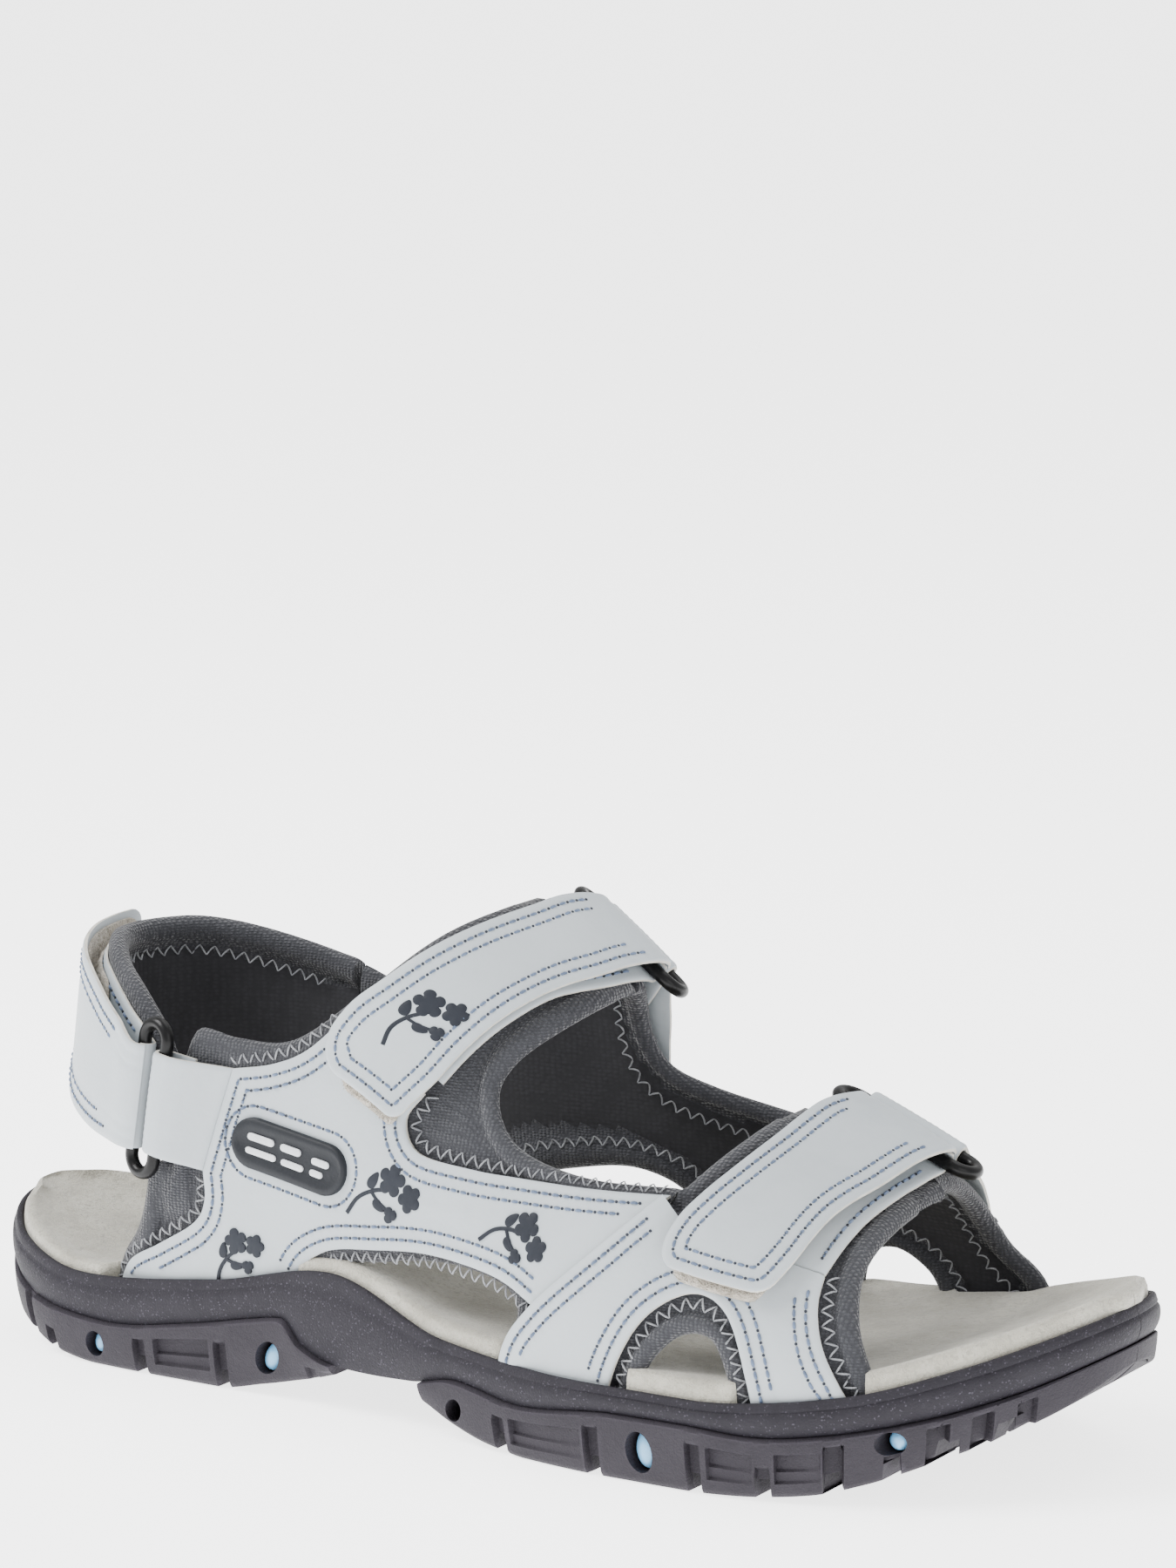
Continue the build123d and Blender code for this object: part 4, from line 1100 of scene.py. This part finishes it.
# ---- straps ---------------------------------------------------------------------------------------
COLUMNS = 9                         # points across a strap
BASE_WRAP = (-80, -50, -20, 10, 40, 66)     # degrees at which the base strap's fold has its rows
FLAP_WRAP = (86, 70, 54, 38)
WRAP_INNER = 1.47
TAB_PLY = 1.15
BASE_THICK = 0.95
FLAP_GAP = 2.5
FLAP_THICK = 1.15
FLAP_CORNER = 2.8
FLAP_RUNS = [0, 4, 5, 6, 7]         # a flap's long sides, its free end and that end's corners
TAPE_INSET = 1.6                    # from the strap's edges to the loop tape's
TAPE_ROWS = (0.3,)
FIBRE_COUNT = 900
FIBRE_ROOT = 0.9
FIBRE_LENGTH = 0.7


def bar_frame(first, last, depth, towards):
    """Frame of a ring's strap bar, as in the CAD model."""
    surface = first[0]
    ends = [Skin(surface, (1, 1)).at(np.array(a), np.array(b), depth) for _, a, b in (first, last)]
    along = unit(ends[1] - ends[0])
    middle = (ends[0] + ends[1]) / 2
    normal = outward(surface, np.array((first[1] + last[1]) / 2), np.array((first[2] + last[2]) / 2))
    normal = unit(normal - along * (normal @ along))
    back = np.cross(along, normal)
    back = back if back @ np.array(towards) > 0 else -back
    return middle, along, normal, back


def strip_rows(surface, low, high, places, depths):
    rows, normals = [], []
    for place, depth in zip(places, depths):
        edge = np.linspace(float(curve(place, low)), float(curve(place, high)), COLUMNS)
        a, b = (edge, np.full(COLUMNS, place)) if surface is over_point else (np.full(COLUMNS, place), edge)
        out = outward(surface, a, b)
        rows.append(surface(a, b) + out * np.reshape(depth, (-1, 1)))
        normals.append(out)
    return rows, normals


def wrap_rows(bar, width, angles, radius, inwards=False):
    """Rows round a bar. Angle 90 is outside, 0 faces the tab, -90 is by the foot."""
    middle, along, normal, back = bar
    rows, normals = [], []
    for angle in np.radians(angles):
        turned = normal * math.sin(angle) - back * math.cos(angle)
        rows.append(middle + along * np.linspace(-width / 2, width / 2, COLUMNS)[:, None] + turned * radius)
        normals.append(np.tile(-turned if inwards else turned, (COLUMNS, 1)))
    return rows, normals


def dense(rows, normals, width, steps=7):
    """Strip through sparse rows, smoothed along its length whatever the gaps between them."""
    gaps = np.linalg.norm(np.diff(np.array(rows)[:, COLUMNS // 2], axis=0), axis=1)[:, None]
    t = np.linspace(0, 1, steps + 1)[:-1, None]
    made = []
    for grid in (np.array(rows), np.array(normals)):
        flat = grid.reshape(len(grid), -1)
        slopes = np.diff(flat, axis=0) / gaps
        inner = (slopes[:-1] * gaps[1:] + slopes[1:] * gaps[:-1]) / (gaps[:-1] + gaps[1:])
        tangents = np.vstack([slopes[:1], inner, slopes[-1:]])
        out = [hermite(t, *piece) for piece in zip(gaps, flat, tangents, flat[1:], tangents[1:])]
        made.append(np.vstack(out + [flat[-1:]]).reshape(-1, COLUMNS, 3))
    return Strip(made[0], unit(made[1]), width)


def strip_outline(start, stop, half, corner_start=0.0, corner_stop=0.0, step=0.7):
    """Rounded rectangle on a strip: b is measured in half widths."""
    def arc(cx, cy, radius, first, last):
        turn = np.radians(np.linspace(first, last, max(3, int(radius * 2))))
        return [(cx + radius * math.cos(t), cy + radius * math.sin(t)) for t in turn]
    a0, a1, r0, r1 = start, stop, corner_start, corner_stop
    runs = [[(a0 + r0, -half), (a1 - r1, -half)]]
    runs.append(arc(a1 - r1, -half + r1, r1, -90, 0) if r1 else [])
    runs.append([(a1, -half + r1), (a1, half - r1)])
    runs.append(arc(a1 - r1, half - r1, r1, 0, 90) if r1 else [])
    runs.append([(a1 - r1, half), (a0 + r0, half)])
    runs.append(arc(a0 + r0, half - r0, r0, 90, 180) if r0 else [])
    runs.append([(a0, half - r0), (a0, -half + r0)])
    runs.append(arc(a0 + r0, -half + r0, r0, 180, 270) if r0 else [])
    points, source = [], []
    for number, run in enumerate(runs):
        if len(run) > 1:
            line = smooth_run(run, step)[:-1] if len(run) == 2 else np.array(run[:-1])
            points.append(line)
            source += [number] * len(line)
    return np.vstack(points), np.array(source)


def strip_panel(name, strip, outline, source, depths, finish, body, slot, replaces=None, rows=(0.35, 1.0),
                runs=None):
    """Panel of leather or tape on a strip. It replaces the CAD node of its own name unless told another."""
    verts, faces, sheet, _ = panel_mesh(strip, outline / strip.scale, *depths, 0.9, rows, source, runs)
    edge = EDGE_MAT if finish is LEATHER_MAT else finish
    new_object(name, verts, faces, finish, body, slot, [replaces or name], 55, edge, sheet)


def fuzz(thread, strip, half):
    """Short standing fibres on a tape."""
    for _ in range(FIBRE_COUNT):
        a, b = random.uniform(0.2, strip.length - 0.2), random.uniform(-half, half)
        root = strip.at(a, b / strip.scale[1], FIBRE_ROOT)
        tip = strip.at(a + random.uniform(-0.5, 0.5), (b + random.uniform(-0.5, 0.5)) / strip.scale[1],
                       FIBRE_ROOT + FIBRE_LENGTH * random.uniform(0.5, 1.2))
        middle = (root + tip) / 2 + np.array([random.uniform(-0.15, 0.15) for _ in range(3)])
        thread.tube([root, middle, tip], 0.07, 4)


def rough_tape(depth, thick):
    """Depths of a fuzzy tape: uneven on its free face."""
    def outer_at(gap, a, b):
        uneven = 0.22 * np.sin(a * 3.1 + 1.3 * np.sin(b * 9)) * np.sin(b * 11 + a * 1.7)
        return depth + thick * np.clip(0.35 + gap / 1.2, 0, 1) + uneven
    return level(depth), outer_at


def build_strap(name, surface, low, high, bar, width, base_places, flap_places, tape_places, flap_lift,
                base_high=None, stand_off=0.0, base_start=0.0, flap_edges=None, flare=0.0):
    """Base strap, flap, hook and loop tapes of one closure. The strap turns round the ring's bar.

    The places are the rows along the surface of the base strap, flap and loop tape. flap_lift raises the
    flap's free end, stand_off holds the flap off its tape, and flare tips it outward at its low edge.
    """
    body = f"{name}_flap"
    base_depth = np.interp(np.arange(len(base_places)), [0, len(base_places) - 3, len(base_places) - 1],
                           [OVERLAY_IN + 0.05, OVERLAY_IN + 0.1, RING_DEPTH - WRAP_INNER - BASE_THICK])
    base_depth = base_depth + base_start * (np.arange(len(base_places)) < 2)
    rows, normals = strip_rows(surface, low, base_high or high, base_places, base_depth)
    more, turned = wrap_rows(bar, width, BASE_WRAP, WRAP_INNER + BASE_THICK, True)
    base = dense(rows + more, normals + turned, width)
    outline, source = strip_outline(0, base.length, width / 2)
    strip_panel(f"{name}_strap_base", base, outline, source, leather_depths(0, BASE_THICK, seams=()),
                LEATHER_MAT, "root", "overlay")
    sewn_part, marks = strip_outline(0, base.length - 9, width / 2)
    stitch_rows(stitches, needle_hole_shades, base, sewn_part / base.scale, marks, [0, 4], STITCH_ROWS[:1],
                BASE_THICK + 0.15)
    rows, normals = strip_rows(surface, [(p, v + TAPE_INSET) for p, v in low],
                               [(p, v - TAPE_INSET) for p, v in high],
                               tape_places, np.full(len(tape_places), LOOP_IN + 0.05))
    tape = dense(rows, normals, width - 2 * TAPE_INSET)
    outline, source = strip_outline(0, tape.length, width / 2 - TAPE_INSET, 1.5, 1.5)
    strip_panel(f"{name}_loop_patch", tape, outline, source, rough_tape(0, 1.15), TAPE_MAT, "root",
                "loop_tape", rows=TAPE_ROWS)
    loops = Thread()
    fuzz(loops, tape, width / 2 - 1.8)
    loops.build(f"{name}_loop_fibres", TAPE_MAT, "root", "loop_tape")
    row, before_last = np.arange(len(flap_places)), len(flap_places) - 1 - np.arange(len(flap_places))
    depth = FLAP_IN + np.clip((2 - before_last) / 2.4, 0, 1) * (RING_DEPTH + FLAP_GAP - FLAP_IN)
    depth = depth + flap_lift * np.exp(-row / 1.1)
    depth = depth + stand_off * np.clip(before_last / 2, 0, 1)
    fade = np.clip(before_last / 3, 0, 1)[:, None]
    depth = depth[:, None] + fade * np.linspace(flare, -0.4 * flare, COLUMNS)
    flap_low, flap_high = flap_edges or (low, high)
    rows, normals = strip_rows(surface, flap_low, flap_high, flap_places, depth)
    more, turned = wrap_rows(bar, width, FLAP_WRAP, FLAP_GAP)
    flap = dense(rows + more, normals + turned, width)
    outline, source = strip_outline(0, flap.length, width / 2, FLAP_CORNER)
    strip_panel(f"{name}_flap_strap", flap, outline, source, leather_depths(0, FLAP_THICK, seams=STITCH_ROWS),
                LEATHER_MAT, body, "overlay", f"{name}_flap", SEAM_ROWS, FLAP_RUNS)
    # The flap's needle-hole dots are painted shade, not cut holes.
    sewn, flap_hole_shading = Thread(), Thread()
    shorter, marks = strip_outline(0, flap.length - 5.5, width / 2, FLAP_CORNER)
    shorter = shorter / flap.scale
    stitch_rows(sewn, flap_hole_shading, flap, shorter, marks, FLAP_RUNS, STITCH_ROWS, FLAP_THICK - 0.05)
    sewn.build(f"{name}_flap_stitches", THREAD_MAT, body, "overlay")
    flap_hole_shading.build(f"{name}_flap_hole_shades", HOLE_SHADE_MAT, body, "overlay")
    hook_length = min(27, flap.length * 0.6)
    outline, source = strip_outline(0.9, hook_length, width / 2 - 1.2, 3.8, 1)
    strip_panel(f"{name}_hook_patch", flap, outline, source,
                (level(-0.05), lambda gap, a, b: -0.75 - 0.12 * np.sin(a * 4.3) * np.sin(b * 17)),
                TAPE_MAT, body, "hook_tape", rows=TAPE_ROWS)
    return flap


# Strap edges: turn and x on the foot's top, or the way round the heel and height
INSTEP_REAR = [(22, -29), (26, -31), (29, -32.5), (35, -30), (44, -23.5), (55, -17), (68, -10.5), (78, -6.4),
               (95, -2.5)]
INSTEP_FRONT = [(22, -16), (26, -14.5), (30, -12), (35, -8.5), (44, -4), (56, 1.6), (66, 5.5), (78, 10.4),
                (95, 14.5)]
FORE_REAR = [(22, 53), (26, 51.5), (30, 50), (36, 50.5), (46, 53.5), (58, 57), (71, 58.8), (82, 59.8),
             (95, 61.5)]
FORE_FRONT = [(22, 70), (26, 71.5), (31, 73.2), (36, 74.6), (42, 75.4), (54, 77), (65, 79.5), (77, 81.6),
              (95, 84)]
FORE_BASE_FRONT = [(22, 66), (38, 80.3), (46, 80.8), (58, 81.6), (71, 82.8), (82, 83.4), (95, 84)]
HEEL_LOW = [(-52, 47.5), (-36, 49), (-15, 53), (15, 59), (45, 60), (66, 59), (76, 54)]
HEEL_HIGH = [(-52, 70), (-42, 75), (-25, 82), (0, 85), (30, 84), (66, 76), (76, 66)]
HEEL_FLAP_LOW = [(-52, 47.5), (-36, 49.5), (-15, 55), (15, 62)]
HEEL_FLAP_HIGH = [(-52, 70), (-42, 75.5), (-25, 83), (0, 88), (15, 89)]
BARS = {
    "instep": bar_frame((over_point, -2.5, 95), (over_point, 14.5, 95), RING_DEPTH, (0, -1, 0)),
    "forefoot": bar_frame((over_point, 61.5, 94), (over_point, 84, 94), RING_DEPTH, (0, -1, 0)),
    "heel": bar_frame((heel_point, -50, 47.5), (heel_point, -50, 70.5), RING_DEPTH, (-1, 0, 0)),
}
instep_flap = build_strap(
    "instep", over_point, INSTEP_REAR, INSTEP_FRONT, BARS["instep"], 20.5,
    np.linspace(36.5, 92, 12), np.array([26.5, 30, 36, 44, 52, 60, 68, 76, 83]),
    np.linspace(24.6, 72, 10), 0.8)
build_strap(
    "forefoot", over_point, FORE_REAR, FORE_FRONT, BARS["forefoot"], 23.5,
    np.linspace(38, 91, 12), np.array([27, 32, 38, 45, 53, 61, 68, 75, 81]), np.linspace(25.4, 70, 10), 0.8,
    FORE_BASE_FRONT)
build_strap(
    "heel", heel_point, HEEL_LOW, HEEL_HIGH, BARS["heel"], 22.5,
    np.concatenate([[74, 70, 65.5], np.linspace(62, -47, 22)]),
    np.array([12, 4, -4, -12, -20, -27, -34, -39.5, -44.5]), np.linspace(26, -30, 12), 2.2,
    stand_off=1.2, base_start=LEATHER + 0.1, flap_edges=(HEEL_FLAP_LOW, HEEL_FLAP_HIGH), flare=1.0)


def build_tab(name, width, start, first, tail):
    """Tab folded round the ring's other bar. start gives its rows up to the bar, first the angle at which
    it meets the bar (0 outside, 90 facing the strap), and tail the inner ply's end beside the bar."""
    middle, along, normal, back = BARS[name]
    centre = middle - back * RING_PITCH
    hole = RING_BAR + 0.15
    turns = np.radians(np.linspace(first, 185, 10))
    p = np.array([(-hole * math.sin(t), hole * math.cos(t)) for t in turns] + tail)
    ahead = unit(np.gradient(p, axis=0))
    rows, normals = list(start[0]), list(start[1])
    for (u, v), (du, dv) in zip(p, ahead):
        spot = centre - back * u + normal * v
        rows.append(spot + along * np.linspace(-width / 2, width / 2, COLUMNS)[:, None])
        normals.append(np.tile(-back * dv - normal * du, (COLUMNS, 1)))
    strip = dense(rows, normals, width, 5)
    outline, source = strip_outline(0, strip.length, width / 2)
    strip_panel(f"{name}_ring_tab", strip, outline, source, leather_depths(0, TAB_PLY, seams=()),
                LEATHER_MAT, "root", "overlay")
    return strip


def sewn_tab(name, width, rear, front, turns, first, tail):
    """Tab that runs down the medial side and is sewn over the edge of its overlay."""
    depths = np.interp(np.arange(len(turns)), [0, 2, len(turns) - 1], [OVERLAY_OUT + 0.1, OVERLAY_OUT, 4.8])
    strip = build_tab(name, width, strip_rows(over_point, rear, front, turns, depths), first, tail)
    for start, end in (((1.6, -0.9), (1.6, 0.9)), ((3.8, -0.9), (3.8, 0.9)),
                       ((1.6, -0.82), (15, -0.82)), ((1.6, 0.82), (15, 0.82))):
        stitch_path(stitches, needle_hole_shades, strip, np.linspace(start, end, 40), TAB_PLY)


def lift_turn(x, z):
    """Turn over the foot at which its surface reaches height z."""
    low = float(rim(x))
    return math.degrees(math.asin(min(0.999, max(-0.9, (z - low) / (float(curve(x, DORSAL)) - low)))))


def quarter_edge():
    """The rear edge of the lateral quarter, as the first row of the heel tab."""
    x = np.linspace(TAB_LOW[0], TAB_HIGH[0], COLUMNS)
    z = np.linspace(TAB_LOW[1], TAB_HIGH[1], COLUMNS)
    turn = np.array([lift_turn(p, q) for p, q in zip(x, z)])
    return [OVER.at(x, turn, OVERLAY_IN)], [outward(over_point, x, turn)]


sewn_tab("instep", 19.5, [(100, 0.5), (136, -9.5)], [(100, 16), (136, 13.2)], [136, 132, 128, 123], -65,
         [(2.2, -4.5), (3.6, -8)])
sewn_tab("forefoot", 22.5, [(105, 64.5), (148, 58.5)], [(105, 85), (148, 81.5)],
         [148, 142, 136, 129, 122], -45, [(3.4, -3.2), (7, -6.4)])
build_tab("heel", 21.5, quarter_edge(), 0, [(3.0, -2.2), (6.0, -2.9)])

# ---- badge and printed sprigs -----------------------------------------------------------------------
BADGE_MIDDLE = (-41.0, 51.0)
BADGE_SIZE = (30.0, 10.5)
BADGE_LEAN = -9.0
# Plain raised bars on the badge: place along and across it, length, height
BADGE_BARS = [(-7.5, 1.4, 7.0, 1.5), (0.5, 1.4, 5.5, 1.5), (-7.0, -1.5, 8.0, 1.3), (1.5, -1.5, 6.0, 1.3),
              (8.6, 1.0, 4.6, 1.4), (8.0, -1.4, 3.4, 1.3)]


def stadium(length, height, count=14):
    """Outline of a bar with round ends."""
    half, radius = length / 2 - height / 2, height / 2
    turns = np.linspace(-math.pi / 2, math.pi / 2, count)
    right = [(half + radius * math.cos(t), radius * math.sin(t)) for t in turns]
    ring = right + [(-x, -y) for x, y in right]
    return np.vstack([smooth_run([p, q])[:-1] for p, q in zip(ring, ring[1:] + ring[:1])])


def on_side(points, middle, lean):
    """Flat drawing in millimetres laid on the lateral side at a side-view place."""
    tilt = math.radians(lean)
    u, v = np.asarray(points, float).T
    x = middle[0] + u * math.cos(tilt) - v * math.sin(tilt)
    z = middle[1] + u * math.sin(tilt) + v * math.cos(tilt)
    return np.stack([x, [lift_turn(p, q) for p, q in zip(x, z)]], 1)


def build_badge():
    outline = on_side(stadium(*BADGE_SIZE), BADGE_MIDDLE, BADGE_LEAN)

    def outer_at(gap, a, b):
        border = 0.45 * (1 - step_up(gap, 0.9, 1.3))
        return OVERLAY_OUT + 1.0 + border - 0.5 * np.clip(1 - gap / 0.4, 0, 1)**2

    def bar_outer(gap, a, b):
        return OVERLAY_OUT + 1.5 - 0.2 * np.clip(1 - gap / 0.25, 0, 1)

    verts, faces = panel_mesh(OVER, outline, level(OVERLAY_OUT - 0.4), outer_at, 0.9,
                              (0.2, 0.5, 0.9, 1.3))[:2]
    new_object("badge", verts, faces, BADGE_MAT, "root", "badge_rubber", ["badge"], sharp=50)
    bars = [on_side(stadium(wide, tall, 6) + (u, v), BADGE_MIDDLE, BADGE_LEAN)
            for u, v, wide, tall in BADGE_BARS]
    panels = [panel_mesh(OVER, bar, level(OVERLAY_OUT + 0.8), bar_outer, 0.6, (0.2,)) for bar in bars]
    new_object("badge_bars", *join(panels), MARK_MAT, "root", "badge_rubber", sharp=50)
    ring = on_side(stadium(BADGE_SIZE[0] + 4.6, BADGE_SIZE[1] + 4.6), BADGE_MIDDLE, BADGE_LEAN)
    stitch_path(stitches, needle_hole_shades, OVER, np.vstack([ring, ring[:1]]), OVERLAY_OUT + 0.1)


build_badge()


def rotated(u, v, turn):
    return np.stack([u * math.cos(turn) - v * math.sin(turn), u * math.sin(turn) + v * math.cos(turn)], 1)


def petal_flower(radius, count=5, turn=0.0):
    """Outline with count round petals."""
    angle = np.linspace(0, 2 * math.pi, 60, endpoint=False)
    reach = radius * (0.60 + 0.40 * np.abs(np.cos(count / 2 * (angle + turn)))**0.55)
    return np.stack([reach * np.cos(angle), reach * np.sin(angle)], 1)


def leaf(length, width, turn):
    """Egg-shaped outline, fuller at its stalk."""
    angle = np.linspace(0, 2 * math.pi, 22, endpoint=False)
    u, v = length / 2 * np.cos(angle), width / 2 * np.sin(angle) * (1 - 0.35 * np.cos(angle))
    return rotated(u, v, turn)


def stem(points, thick):
    """Thin band along a smooth line."""
    line = resampled(smooth_run(points, 0.6), 0.7)
    side = unit(np.gradient(line, axis=0))[:, ::-1] * (-1, 1) * thick / 2
    return np.vstack([line + side, (line - side)[::-1]])


def sprig(size, lean, mirror=1):
    """Own generic sprig: a curved stem, two five-petal flowers, a bud and leaves."""
    shapes = [stem([(-7.5, -3.4), (-5, -0.6), (-1.5, 0.8), (2.2, 1.0)], 0.75),
              petal_flower(2.9) + (2.4, 2.6), petal_flower(2.5, turn=0.6) + (6.4, -0.4),
              leaf(3.4, 1.9, 0.9) + (-1.6, 2.6), leaf(3.0, 1.7, -0.7) + (-0.4, -1.8),
              stem([(-2.0, 0.6), (-0.6, -1.0), (1.6, -2.6)], 0.6), petal_flower(1.5, 3) + (2.2, -3.3)]
    tilt = math.radians(lean)
    turned = []
    for shape in shapes:
        u, v = (shape * size).T
        v = v * mirror
        turned.append(rotated(u, v, tilt))
    return turned


def print_shapes(name, skin, outlines, depth, body, slot):
    """Thin raised print. Each shape stands a little higher than the one before, so that none coincide."""
    panels = []
    for number, outline in enumerate(outlines):
        def outer(gap, a, b, lift=0.05 + 0.02 * number):
            return depth + lift + 0.14 * np.clip(gap / 0.3, 0, 1)
        panels.append(panel_mesh(skin, outline, level(depth - 0.15), outer, 0.7, (0.2,)))
    new_object(name, *join(panels), PRINT_MAT, body, slot, sharp=50)


side_shapes = []
for middle, size, lean in (((-17.5, 46), 1.14, 4), ((16, 42), 0.98, -14), ((-55.5, 28), 0.98, 34)):
    side_shapes += [on_side(shape, middle, 0) for shape in sprig(size, lean)]
print_shapes("side_sprigs", OVER, side_shapes, OVERLAY_OUT + 0.1, "root", "overlay")
flap_shapes = [(shape + (19.5, 0)) / instep_flap.scale for shape in sprig(1.06, 30, -1)]
print_shapes("instep_flap_sprig", instep_flap, flap_shapes, FLAP_THICK + 0.1, "instep_flap", "overlay")

stitches.build("root_stitches", THREAD_MAT, "root", "overlay")
# The needle-hole dots are painted shade, not cut holes.
needle_hole_shades.build("needle_hole_shades", HOLE_SHADE_MAT, "root", "overlay")
zigzags.build("zigzag_threads", ZIGZAG_MAT, "root", "lining")

# ---- materials of the CAD nodes that stay ------------------------------------------------------------
KEPT = {"shank": STEEL_MAT, "insole_board": BOARD_MAT, "instep_ring": RING_MAT, "forefoot_ring": RING_MAT,
        "heel_ring": RING_MAT}
for node, finish in KEPT.items():
    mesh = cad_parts[node].data
    mesh.materials.clear()
    mesh.materials.append(finish)

# ---- floor, light and camera --------------------------------------------------------------------------
# Lights: name, place, size, power
LIGHTS = [("key", (-0.75, -0.55, 1.1), (0.7, 0.7), 24), ("fill", (1.1, -0.6, 0.6), (0.9, 0.7), 4),
          ("top", (0.1, 0.5, 1.3), (1.0, 0.8), 6)]
CAMERA_AIM = Vector((0.0, 0.0, 0.035))
CAMERA_DISTANCE = 1.09
CAMERA_AZIMUTH, CAMERA_ELEVATION = math.radians(32), math.radians(14.4)
AIM_RIGHT, AIM_UP = 0.0087, 0.0913
LENS = 121.2
FLOOR_GLOW = 2.8
FLOOR_SIZE = 60
FLOOR_DROP = 0.0002

floor_mat = material("pale_floor", (0.93, 0.93, 0.935, 1), 0.95, (0.92, 0.92, 0.925, 1), 3, specular=0.1)
shader = floor_mat.node_tree.nodes["Principled BSDF"]
shader.inputs["Emission Color"].default_value = (1, 1, 1, 1)
shader.inputs["Emission Strength"].default_value = FLOOR_GLOW
bpy.ops.mesh.primitive_grid_add(x_subdivisions=8, y_subdivisions=8, size=FLOOR_SIZE)
floor = bpy.context.object
floor.name = "floor"
floor.location.z = cad_bounds[0].z - FLOOR_DROP
floor.data.materials.append(floor_mat)

world = bpy.data.worlds.new("studio")
bpy.context.scene.world = world
world.use_nodes = True
world.node_tree.nodes["Background"].inputs["Color"].default_value = (1, 1, 1, 1)
world.node_tree.nodes["Background"].inputs["Strength"].default_value = 1.0


def softbox(name, place, size, power):
    data = bpy.data.lights.new(name, "AREA")
    data.shape = "RECTANGLE"
    data.size, data.size_y = size
    data.energy = power
    lamp = bpy.data.objects.new(name, data)
    bpy.context.scene.collection.objects.link(lamp)
    lamp.location = place
    lamp.rotation_mode = "QUATERNION"
    lamp.rotation_quaternion = (CAMERA_AIM - Vector(place)).to_track_quat("-Z", "Y")


for light in LIGHTS:
    softbox(*light)

back = Vector((math.sin(CAMERA_AZIMUTH) * math.cos(CAMERA_ELEVATION),
               -math.cos(CAMERA_AZIMUTH) * math.cos(CAMERA_ELEVATION), math.sin(CAMERA_ELEVATION)))
right = Vector((math.cos(CAMERA_AZIMUTH), math.sin(CAMERA_AZIMUTH), 0))
up = back.cross(right)
camera_data = bpy.data.cameras.new("camera")
camera_data.lens = LENS
camera_data.sensor_width = 36
camera_data.clip_start, camera_data.clip_end = 0.05, 50
camera = bpy.data.objects.new("camera", camera_data)
bpy.context.scene.collection.objects.link(camera)
camera.location = CAMERA_AIM + back * CAMERA_DISTANCE
target = CAMERA_AIM + right * AIM_RIGHT + up * AIM_UP
camera.rotation_mode = "QUATERNION"
camera.rotation_quaternion = (target - camera.location).to_track_quat("-Z", "Y")
bpy.context.scene.camera = camera
